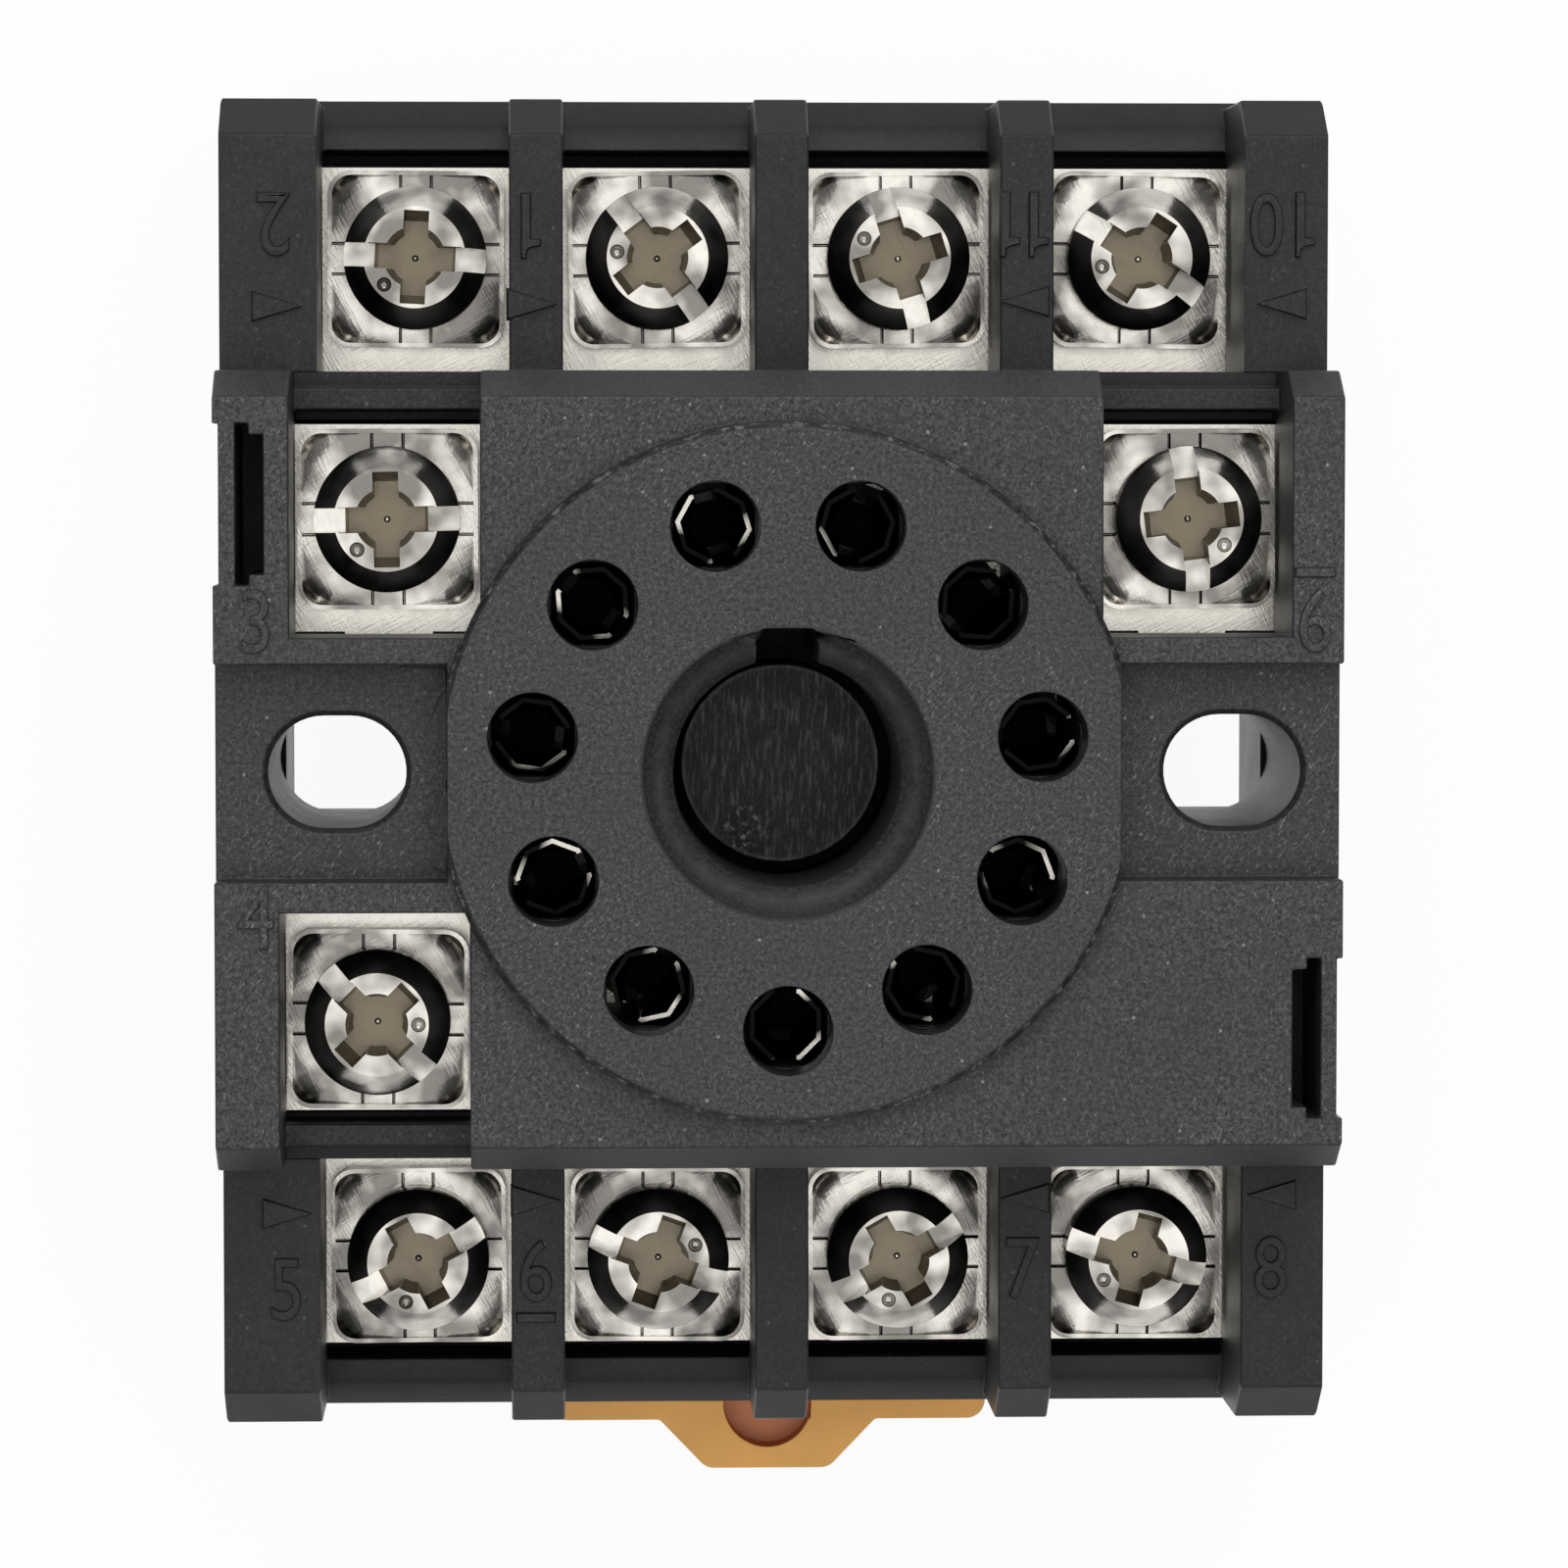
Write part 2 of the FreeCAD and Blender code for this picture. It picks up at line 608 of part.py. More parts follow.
def spring_peg():
    """The peg in the latch way that the spring's outer end bears on."""
    floor = spring_height() - SPRING_DEPTH / 2
    y0 = -(SPRING_SEAT + PEG_LENGTH)
    half = SPRING_HALF_WIDTH
    return box(-half, half, y0, -SPRING_SEAT, floor, LATCH_TOP + LATCH_GAP)


def base_screw_seat():
    return RAIL_SEAT_HEIGHT + BASE_SCREW_SINK + BASE_SCREW_HEAD


def base_screw_hole(x, y):
    sink = cylinder(BASE_SCREW_HEAD_RADIUS + BASE_SCREW_AIR, 0, base_screw_seat(), x, y)
    return sink.fuse(cylinder(BASE_SCREW_RADIUS + BASE_SCREW_AIR, 0, CONTACT_HEIGHT, x, y))


def ear_opening(x):
    """The way for a panel screw, square at its ends."""
    half_length = EAR_SLOT_LENGTH / 2 - EAR_SLOT_CHAMFER
    half_width = EAR_SLOT_WIDTH / 2 + EAR_SLOT_AIR
    return box(x - half_length, x + half_length, -half_width, half_width, 0, CONTACT_HEIGHT)


def base_plate():
    body = base_block().multiFuse([pedestal(number) for number in MID_SITES]).removeSplitter()
    body = body.cut(rail_groove())
    body = body.cut(latch_way())
    post = cylinder(KEY_BORE_RADIUS - POST_GAP, CONTACT_HEIGHT - SHEET, POST_TOP)
    body = body.multiFuse([fixed_hook(), spring_peg(), post]).removeSplitter()
    holes = [screw_pocket(number) for number in range(1, PIN_COUNT + 1)]
    holes += [ear_opening(x) for x in EAR_PLACES]
    holes += [base_screw_hole(x, y) for x, y in BASE_SCREW_PLACES]
    return body.cut(Part.makeCompound(holes))


# Contacts


def clip_outer_radius():
    return PIN_RADIUS - CLIP_GRIP + CLIP_WALL


def clip_mouth():
    return TOTAL_HEIGHT - PIN_HOLE_LAND - CLIP_AIR


def clip_outline(radius, z):
    """The plan of the folded clip, with its flats at the radius from the pin's axis."""
    step = 2 * math.pi / CLIP_FOLDS
    corner = radius / math.cos(step / 2)
    angles = [(fold + 0.5) * step for fold in range(CLIP_FOLDS)]
    points = [Vector(corner * math.cos(angle), corner * math.sin(angle), z) for angle in angles]
    return Part.makePolygon(points + [points[0]])


def at_pin(shape, number):
    """Turn a shape drawn about the Z axis to a pin's heading, and move it there."""
    x, y = pin_place(number)
    shape.rotate(Vector(0, 0, 0), Vector(0, 0, 1), math.degrees(math.atan2(y, x)))
    shape.translate(Vector(x, y, 0))
    return shape


def clip_body(number, radius, mouth_radius):
    """A folded sleeve's space, upright from the joint plane and flared at its mouth."""
    mouth = clip_mouth()
    sections = [clip_outline(radius, CONTACT_HEIGHT), clip_outline(radius, mouth - CLIP_FLARE)]
    sections += [clip_outline(mouth_radius, mouth)]
    return at_pin(Part.makeLoft(sections, True, True), number)


def clip_slit(number):
    """The cut that parts the clip into two leaves over its upper length."""
    reach = PIN_HOLE_RADIUS
    floor = clip_mouth() - CLIP_SLIT_DEPTH
    slit = box(-reach, reach, -CLIP_SLIT / 2, CLIP_SLIT / 2, floor, clip_mouth())
    return at_pin(slit, number)


def end_terminal(number):
    x = terminal_place(number)[0]
    half = END_PLATE_WIDTH / 2
    y1 = END_PLATE_INNER + END_PLATE_LENGTH
    plate = box(x - half, x + half, END_PLATE_INNER, y1, CONTACT_HEIGHT, PLATE_TOP)
    return facing(plate, outward_side(number))


def mid_terminal(number):
    """A raised plate on a leg that is bent down to the joint plane."""
    x = terminal_place(number)[0]
    half = MID_PLATE_WIDTH / 2
    back = mid_plate_back(number)
    plate = box(x - half, x + half, back, back + MID_PLATE_LENGTH, MID_PLATE_HEIGHT, MID_PLATE_TOP)
    leg_half = LEG_WIDTH / 2
    leg = box(x - leg_half, x + leg_half, back - SHEET, back, CONTACT_HEIGHT, MID_PLATE_TOP)
    foot_back = back - SHEET - FOOT_LENGTH
    foot = box(x - leg_half, x + leg_half, foot_back, back - SHEET, CONTACT_HEIGHT, PLATE_TOP)
    return facing(plate.multiFuse([leg, foot]).removeSplitter(), outward_side(number))


def contact(number):
    """One stamped contact: terminal plate, strip in the joint plane and pin clip."""
    terminal = mid_terminal(number) if number in MID_SITES else end_terminal(number)
    start = strip_start(number)
    strip = strip_between(start, pin_place(number), STRIP_WIDTH, CONTACT_HEIGHT, PLATE_TOP)
    sleeve = clip_body(number, clip_outer_radius(), CLIP_MOUTH_RADIUS)
    body = terminal.multiFuse([strip, sleeve]).removeSplitter()
    hole_x, hole_y = terminal_place(number)
    thread = cylinder(SCREW_RADIUS + THREAD_GAP, 0, TOTAL_HEIGHT, hole_x, hole_y)
    pin_way = clip_body(number, PIN_RADIUS - CLIP_GRIP, CLIP_MOUTH_RADIUS - CLIP_MOUTH_WALL)
    return body.cut(Part.makeCompound([thread, pin_way])).cut(clip_slit(number))


# Clamps and screws


def clamp(number):
    """A square washer with cut-off corners."""
    half = WASHER_SIDE / 2
    flat = half - WASHER_CORNER
    outline = [(half, -flat), (half, flat), (flat, half), (-flat, half)]
    outline += [(-half, flat), (-half, -flat), (-flat, -half), (flat, -half)]
    plate = prism_along_z(outline, 0, WASHER_THICKNESS)
    shape = plate.cut(cylinder(SCREW_RADIUS + WASHER_HOLE_GAP, 0, WASHER_THICKNESS))
    x, y = terminal_place(number)
    shape.translate(Vector(x, y, plate_top(number)))
    return shape


def screw_blank():
    """Shank and head about the Z axis, with the head's underside at height 0."""
    head = cylinder(HEAD_RADIUS, 0, HEAD_HEIGHT)
    return head.fuse(cylinder(SCREW_RADIUS, -SCREW_LENGTH, 0)).removeSplitter()


def driver_slot():
    reach = HEAD_RADIUS
    floor = HEAD_HEIGHT - SLOT_DEPTH
    return box(-reach, reach, -SLOT_WIDTH / 2, SLOT_WIDTH / 2, floor, HEAD_HEIGHT)


def screw(number):
    shape = screw_blank().cut(driver_slot())
    shape.rotate(Vector(0, 0, 0), Vector(0, 0, 1), SCREW_HEADINGS[number])
    x, y = terminal_place(number)
    shape.translate(Vector(x, y, plate_top(number) + WASHER_THICKNESS))
    return shape


def base_screw(x, y):
    """A tapping screw, head down in the rail groove, with a cross recess."""
    seat = base_screw_seat()
    low = seat - BASE_SCREW_HEAD
    head = cylinder(BASE_SCREW_HEAD_RADIUS, low, seat, x, y)
    shank = cylinder(BASE_SCREW_RADIUS, seat, seat + BASE_SCREW_LENGTH, x, y)
    half_length = BASE_SCREW_CROSS_LENGTH / 2
    half_width = BASE_SCREW_CROSS_WIDTH / 2
    top = low + BASE_SCREW_CROSS_DEPTH
    along = box(x - half_length, x + half_length, y - half_width, y + half_width, low, top)
    across = box(x - half_width, x + half_width, y - half_length, y + half_length, low, top)
    return head.fuse(shank).removeSplitter().cut(along.fuse(across))


# Rail latch and spring


def spring_height():
    return LATCH_TOP - SPRING_AIR - SPRING_DEPTH / 2


def latch_bar():
    """The latch's slide inside the base, with its wings and its sloping nose."""
    half = LATCH_HALF_WIDTH
    top = LATCH_TOP
    nose_top = top - RAIL_BACK_GAP
    shoulder = GROOVE_HALF + LATCH_GAP
    nose_floor = nose_top - HOOK_THICKNESS
    outline = [(-LATCH_STOP, LATCH_FLOOR), (-shoulder, LATCH_FLOOR), (-LATCH_NOSE, nose_floor)]
    outline += [(-LATCH_NOSE, nose_top), (-shoulder, nose_top), (-shoulder, top)]
    outline += [(-LATCH_STOP, top)]
    bar = prism_along_x(outline, -half, half)
    wide = half + LATCH_WING - LATCH_GAP
    wing_end = LATCH_STOP - LATCH_WING_LENGTH
    wing_floor = top - LATCH_WING_THICKNESS
    wings = box(-wide, wide, -LATCH_STOP, -wing_end, wing_floor, top)
    return bar.fuse(wings).removeSplitter()


def latch_pull():
    """The flange and tongue that stand out past the body's lower end."""
    half = LATCH_FLANGE_HALF
    flange_end = LATCH_STOP + LATCH_FLANGE_LENGTH
    flange = box(-half, half, -flange_end, -LATCH_STOP, LATCH_FLOOR, LATCH_TOP)
    flange = flange.makeFillet(LATCH_FLANGE_CORNER, edges_at_end(flange, -flange_end))
    outline = [(-LATCH_TONGUE_HALF, -flange_end), (-LATCH_TONGUE_END_HALF, -LATCH_END)]
    outline += [(LATCH_TONGUE_END_HALF, -LATCH_END), (LATCH_TONGUE_HALF, -flange_end)]
    tongue = prism_along_z(outline, LATCH_FLOOR, LATCH_TOP)
    tongue = tongue.makeFillet(LATCH_FLANGE_CORNER, edges_at_end(tongue, -LATCH_END))
    return flange.fuse(tongue).removeSplitter()


def latch_recess():
    """The shallow recess for a screwdriver's tip, round at its outer side."""
    floor = LATCH_TOP - LATCH_RECESS_DEPTH
    half = LATCH_RECESS_HALF
    shoulder_end = LATCH_STOP + LATCH_RECESS_SHOULDER
    shoulder = box(-half, half, -shoulder_end, -LATCH_STOP, floor, LATCH_TOP)
    centre = LATCH_STOP + LATCH_RECESS_REACH
    round_end = cylinder(LATCH_RECESS_RADIUS, floor, LATCH_TOP, 0, -centre)
    return shoulder.fuse(round_end).removeSplitter()


def spring_room():
    """The pocket in the latch for the spring and the peg."""
    half = SPRING_HALF_WIDTH + LATCH_GAP
    floor = spring_height() - SPRING_DEPTH / 2 - LATCH_GAP
    return box(-half, half, -SPRING_ROOM_OUTER, -SPRING_ROOM_INNER, floor, LATCH_TOP)


def rail_latch():
    body = latch_bar().fuse(latch_pull()).removeSplitter()
    return body.cut(spring_room().fuse(latch_recess()))


def spring_pitch():
    return (SPRING_LENGTH - SPRING_WIRE) / (SPRING_RUNS - 1)


def spring_bend(y, side):
    """The half ring that joins one run of the spring to the next."""
    mean = spring_pitch() / 2
    x = side * (SPRING_HALF_WIDTH - mean - SPRING_WIRE / 2)
    z = spring_height() - SPRING_DEPTH / 2
    ring = Part.makeCylinder(mean + SPRING_WIRE / 2, SPRING_DEPTH, Vector(x, y, z))
    ring = ring.cut(Part.makeCylinder(mean - SPRING_WIRE / 2, SPRING_DEPTH, Vector(x, y, z)))
    far = x + side * SPRING_HALF_WIDTH
    half = box(min(x, far), max(x, far), y - SPRING_LENGTH, y + SPRING_LENGTH, z, z + SPRING_DEPTH)
    return ring.common(half)


def latch_spring():
    """A flat wire bent to and fro, which is pressed together along Y."""
    reach = SPRING_HALF_WIDTH - spring_pitch() / 2 - SPRING_WIRE / 2
    low = spring_height() - SPRING_DEPTH / 2
    high = low + SPRING_DEPTH
    first = -(SPRING_ROOM_INNER + SPRING_WIRE / 2)
    runs = []
    for index in range(SPRING_RUNS):
        y = first - index * spring_pitch()
        runs.append(box(-reach, reach, y - SPRING_WIRE / 2, y + SPRING_WIRE / 2, low, high))
        if index < SPRING_RUNS - 1:
            side = 1 if index % 2 else -1
            runs.append(spring_bend(y - spring_pitch() / 2, side))
    return runs[0].multiFuse(runs[1:]).removeSplitter()


def save(name, shape):
    placed = shape.copy()
    placed.translate(Vector(-ORIGIN_X, -ORIGIN_Y, 0))
    if placed.ShapeType != "Solid":
        placed = placed.Solids[0]
    placed.exportStep(f"parts/{name}.step")


def main():
    os.makedirs("parts", exist_ok=True)
    save("housing", housing())
    save("base_plate", base_plate())
    save("rail_latch", rail_latch())
    save("latch_spring", latch_spring())
    for index, (x, y) in enumerate(BASE_SCREW_PLACES, start=1):
        save(f"base_screw_{index}", base_screw(x, y))
    for number in range(1, PIN_COUNT + 1):
        save(f"contact_{number}", contact(number))
        save(f"clamp_{number}", clamp(number))
        save(f"screw_{number}", screw(number))


main()
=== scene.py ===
import math

import bmesh
import bpy
from mathutils import Matrix, Vector


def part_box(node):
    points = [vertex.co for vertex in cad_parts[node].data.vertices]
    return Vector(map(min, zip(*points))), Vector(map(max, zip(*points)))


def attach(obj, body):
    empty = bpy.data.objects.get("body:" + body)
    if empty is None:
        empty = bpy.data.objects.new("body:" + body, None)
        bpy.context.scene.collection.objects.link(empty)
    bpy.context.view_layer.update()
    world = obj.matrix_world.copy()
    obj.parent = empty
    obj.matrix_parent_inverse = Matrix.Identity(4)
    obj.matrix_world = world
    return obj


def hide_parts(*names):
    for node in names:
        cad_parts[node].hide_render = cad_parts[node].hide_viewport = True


bl_info = {
    "name": "Relay socket",
    "version": (1, 0, 0),
    "blender": (4, 5, 0),
    "location": "View3D > Sidebar > Relay socket",
    "description": "Dresses an eleven-pin relay socket with its mouldings, screws and rail latch",
    "category": "Object",
}

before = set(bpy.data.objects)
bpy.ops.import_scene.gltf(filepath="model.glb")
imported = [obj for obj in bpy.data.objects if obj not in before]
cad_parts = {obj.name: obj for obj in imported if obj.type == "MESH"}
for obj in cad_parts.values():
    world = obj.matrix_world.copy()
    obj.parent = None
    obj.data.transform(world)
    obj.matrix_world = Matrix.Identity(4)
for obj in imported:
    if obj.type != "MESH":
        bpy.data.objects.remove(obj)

MM = 0.001
TERMINALS = range(1, 12)
SHARP_ANGLE = math.radians(30)
FLAT_ANGLE = math.radians(0.5)
MERGE_DISTANCE = 0.002 * MM

# How far a cutter runs past a surface, and how deep joined shapes sit in each other
OVERRUN = 0.3 * MM
SEAM = 0.001 * MM

# Steps round circles, and rows of the thread and the dome
CORNER_STEPS = 24
MARK_STEPS = (16, 10)
THREAD_STEPS = 32
THREAD_ROWS = 84
HOLE_STEPS = 40
DOME_RINGS = 64
HEAD_STEPS = 72
RING_STEPS = 96

# Place of the relay axis in the row frame, in mm
AXIS_X = 0.3
AXIS_Y = 2.35

# Slot heading of the clamping screws 1 to 11, in degrees from +X, and the washers' small turns
SCREW_HEADINGS = (-53, -3, 1, 135, 28, 160, 30, -15, 97, -33, -73)
WASHER_TURNS = (1.0, -0.3, 0.2, -0.5, 0.6, -0.4, 0.5, -0.2, 0.4, -0.8, 0.7)

# Shank of the clamping screws and hole of their washers, in mm
THREAD_RADIUS = 1.75
THREAD_TIP_RADIUS = 1.25
WASHER_HOLE_RADIUS = 1.95

# Width of the bottom of a washer's pressed lines, in mm
LINE_BED = 0.01

# Cross recess of a screw: how far its darker material for painted shade reaches, in mm, and its
# taper to the floor
CROSS_SHADE_RADIUS = 1.95
CROSS_SHADE_FOOT = 0.3
CROSS_SHADE_TOP = 2.45
LEVEL_TOLERANCE = 0.02
CROSS_END_TAPER = 0.8
CROSS_SIDE_TAPER = 0.96

# Way from the screw's axis to the mark on its head, in degrees from the slot
DIMPLE_TURN = -135

# Raised digits: digit, X and Y from the relay axis, height, turn in degrees, offset of a bar
RIB_TOP = 22.6
DECK_TOP = 29.0
DIGITS = (
    ("2", -23.1, 24.65, RIB_TOP, 180, 0),
    ("1", -11.65, 24.6, RIB_TOP, 180, 0),
    ("1", 10.2, 24.7, RIB_TOP, 180, 0),
    ("1", 11.5, 24.7, RIB_TOP, 180, 0),
    ("0", 22.16, 24.7, RIB_TOP, 180, 0),
    ("1", 23.71, 24.7, RIB_TOP, 180, 0),
    ("3", -23.7, 6.8, DECK_TOP, 0, 0),
    ("9", 23.66, 6.8, DECK_TOP, 180, 2.15),
    ("4", -23.75, -6.4, DECK_TOP, 0, 0),
    ("5", -22.75, -24.0, RIB_TOP, 0, 0),
    ("6", -11.3, -23.2, RIB_TOP, 0, -2.15),
    ("7", 11.1, -23.2, RIB_TOP, 0, 0),
    ("8", 22.55, -23.2, RIB_TOP, 0, 0),
)
DIGIT_NARROWING = 0.82
DIGIT_THINNING = 0.8
BAR_HALF_LENGTH = 0.85
BAR_HALF_WIDTH = 0.17

# How much wider a raised mark is at its foot, in mm
MARK_SLOPE = 0.11

# The digit 1 in mm from the middle of its stem, with a flag that curves off to the left
ONE_STEM_HALF = 0.17
ONE_SHOULDER = 0.04
ONE_FLAG = ((0.02, 1.08), (-0.22, 0.93), (-0.62, 0.86), (-0.62, 0.64), (-0.17, 0.62))

# Arrow marks on the ribs: X and Y in mm from the relay axis, and which way the tip points
ARROWS = (
    (-23.0, 20.95, 1),
    (-11.4, 21.05, 1),
    (11.1, 21.2, -1),
    (22.9, 21.1, -1),
    (-22.7, -20.5, 1),
    (-11.3, -19.95, 1),
    (11.2, -19.95, -1),
    (22.6, -19.85, -1),
)
ARROW_LENGTH = 2.1
ARROW_HALF_WIDTH = 0.62

# Distances from the relay axis, in mm
CLIP_REACH = 13.5
FUNNEL_MIDDLE = 5.75
FUNNEL_RIM = 6.5
DISC_EDGE = 15.6
POST_RADIUS = 4.6

# Rough spot left on the post: X, Y and height in mm from the relay axis, and its radius
POST_SPOT = (-1.5, -3.1, 20.0)
POST_SPOT_RADIUS = 1.5

# Small bright point in the middle of each screw's recess, in mm
POINT_RADIUS = 0.16

# Thin moulding flash on the floor of the left ear, in mm from the relay axis
EAR_FLOOR = 27.5
UPPER_FLASH = (
    (-17.34, 4.71), (-16.81, 3.61), (-16.28, 3.13), (-15.89, 2.56),
    (-15.62, 3.31), (-15.27, 3.75), (-15.3, 4.65),
)
LOWER_FLASH = (
    (-15.3, -0.34), (-15.5, -1.3), (-16.33, -1.97), (-15.58, -2.89),
    (-16.02, -4.08), (-15.27, -4.52), (-15.2, -2.0),
)
FLASH_THICKNESS = 0.12

# The mouldings' CAD nodes, their dressed pieces and finish slots
MOULDINGS = (("housing", "moulded_housing", "housing"), ("base_plate", "moulded_base", "base"))

# The latch's tool recess, whose faces take painted shade, in mm: half width, reach and lip from the
# outer end, floor and brim
TOOL_RECESS_HALF = 4.2
TOOL_RECESS_REACH = 4.6
TOOL_RECESS_LIP = 0.3
TOOL_RECESS_FLOOR = 2.0
TOOL_RECESS_BRIM = 0.1

# Softened edges: segments, and the largest share of the shortest edge beside them
SOFT_SEGMENTS = 2
SOFT_SHARE = 0.25

# Least share of a corner's way out along its edge's, which keeps a mitre short
MITRE_LIMIT = 0.5

# Fibres in the mouldings: turn in degrees, stretch and scale of each direction
FIBRES = ((-40, 4.5, 13000.0), (48, 4.0, 12000.0), (-8, 4.0, 12500.0))

# Stage, in metres: lamps' places and sides, floor
OVERHEAD_PLACE = (0.02, 0.06, 0.75)
OVERHEAD_SIDE = 1.4
SIDE_LAMP_PLACE = (0.05, 0.62, 0.42)
SIDE_LAMP_SIDE = 0.4
FLOOR_HALF = 1.5
FLOOR_HEIGHT = -0.02 * MM
FLOOR_GLOW = 0.94


# Properties


def amount(name, description, default, **settings):
    return bpy.props.FloatProperty(name=name, description=description, default=default, **settings)


def length(name, description, default):
    """A length property whose default is given in millimetres."""
    settings = {"subtype": "DISTANCE", "unit": "LENGTH", "precision": 5}
    return amount(name, description, default * MM, **settings)


def triplet(name, description, default, **settings):
    return bpy.props.FloatVectorProperty(
        name=name, description=description, default=default, size=3, **settings
    )


def colour(name, description, default):
    return triplet(name, description, default, subtype="COLOR", min=0.0, max=1.0)


def location(name, description, default):
    return triplet(name, description, default, subtype="XYZ", unit="LENGTH")


def setting_names(group):
    """The names of a property group's own settings."""
    return [key for key in group.bl_rna.properties.keys() if key not in ("rna_type", "name")]


def labelled(group):
    """The settings of a property group under their labels."""
    properties = group.bl_rna.properties
    return {properties[key].name: getattr(group, key) for key in setting_names(group)}


class SocketFinish(bpy.types.PropertyGroup):
    housing: colour("Housing", "Colour of the two black mouldings", (0.0100, 0.0100, 0.0108))
    fleck: colour("Flecks", "Colour of the pale fibres in the mouldings", (0.15, 0.15, 0.15))
    latch: colour("Latch", "Colour of the rail latch", (0.80, 0.40, 0.08))
    # Painted shade: the tool recess's darker orange stands in for the shade in it.
    recess: colour("Latch recess", "Colour of the latch's tool recess", (0.52, 0.16, 0.045))
    plating: colour("Plating", "Colour of the plated screws and washers", (0.57, 0.545, 0.50))
    # Painted shade: the screws' cross recess is coloured darker than the plating, for the shade in
    # it.
    cross: colour("Cross recess", "Colour inside the screws' cross recess", (0.150, 0.128, 0.094))
    contact: colour("Contacts", "Colour of the contacts", (0.58, 0.555, 0.50))
    edge: length("Moulded edge", "Radius of the mouldings' edges", 0.12)
    numeral_size: length("Numeral height", "Height of the raised terminal numbers", 2.88)
    relief: length("Relief", "Rise of the raised numbers and arrows", 0.2)


class ScrewSizes(bpy.types.PropertyGroup):
    dome_radius: length("Dome radius", "Radius of the head's dome", 3.73)
    slot_width: length("Slot width", "Width of the driver slot", 1.1)
    slot_depth: length("Slot depth", "Depth of the driver slot", 1.25)
    cross_reach: length("Cross reach", "Half length of the cross recess", 2.15)
    cross_width: length("Cross width", "Width of the recess's arms", 1.16)
    cross_depth: length("Cross depth", "Depth of the cross recess", 1.9)
    cross_centre: length("Cross centre", "Radius of the recess's rounded centre", 1.42)
    dimple_radius: length("Dimple radius", "Radius of the mark on the head", 0.34)
    dimple_place: length("Dimple place", "Distance of the mark from the axis", 1.88)
    pitch: length("Thread pitch", "Rise of the thread in one turn", 0.6)
    thread_depth: length("Thread depth", "Depth of the thread", 0.28)


class WasherSizes(bpy.types.PropertyGroup):
    corner: length("Corner", "Radius of the washer's corners", 1.1)
    rim: length("Rim", "Width of the raised rim", 0.2)
    rim_rise: length("Rim rise", "Height of the rim over the ring", 0.18)
    ring_radius: length("Ring radius", "Outer radius of the flat ring", 4.08)
    shoulder_radius: length("Shoulder radius", "Where the gentle fall outside the ring ends", 4.85)
    shoulder_drop: length("Shoulder drop", "Height of the gentle fall outside the ring", 0.17)
    dish_depth: length("Dish depth", "How far the corners fall below the ring", 0.62)
    dish_run: length("Dish run", "Run over which the corners fall steeply", 0.5)
    line_gap: length("Line gap", "Distance between a pair of pressed lines", 1.42)
    line_width: length("Line width", "Width of a pressed line", 0.15)
    line_depth: length("Line depth", "Depth of a pressed line", 0.4)


class StageSettings(bpy.types.PropertyGroup):
    camera: location("Camera", "Place of the camera", (-0.0103, 0.01645, 0.299))
    aim: location("Aim", "Point that the camera looks at", (0.00069, 0.0011, 0.015))
    lens: amount("Lens", "Focal length in millimetres", 138.9, min=10.0)
    overhead: amount("Overhead lamp", "Power of the overhead softbox", 6.8, subtype="POWER")
    side: amount("Side lamp", "Power of the lamp behind the upper row", 2.2, subtype="POWER")
    ambient: amount("Ambient", "Strength of the surrounding light", 0.34, min=0.0)


# Node trees


class NodeTree:
    """Adds nodes to a tree, with their inputs wired or set in the same call."""

    def __init__(self, tree):
        self.tree = tree

    def add(self, kind, inputs=None, **settings):
        node = self.tree.nodes.new(kind)
        for name, value in settings.items():
            setattr(node, name, value)
        self.feed_all(node, inputs or {})
        return node

    def feed_all(self, node, inputs):
        for key, value in inputs.items():
            self.feed(node.inputs[key], value)

    def feed(self, socket, value):
        if isinstance(value, list):
            for item in value:
                self.tree.links.new(item, socket)
        elif isinstance(value, bpy.types.NodeSocket):
            self.tree.links.new(value, socket)
        else:
            socket.default_value = value

    def make(self, kind, inputs=None, **settings):
        """Add a node, and give back its first output."""
        return self.add(kind, inputs, **settings).outputs[0]

    def maths(self, operation, *values):
        return self.make("ShaderNodeMath", dict(enumerate(values)), operation=operation)

    def plus(self, first, second):
        return self.maths("ADD", first, second)

    def minus(self, first, second):
        return self.maths("SUBTRACT", first, second)

    def times(self, first, second):
        return self.maths("MULTIPLY", first, second)

    def triple(self, x, y, z):
        return self.make("ShaderNodeCombineXYZ", {0: x, 1: y, 2: z})


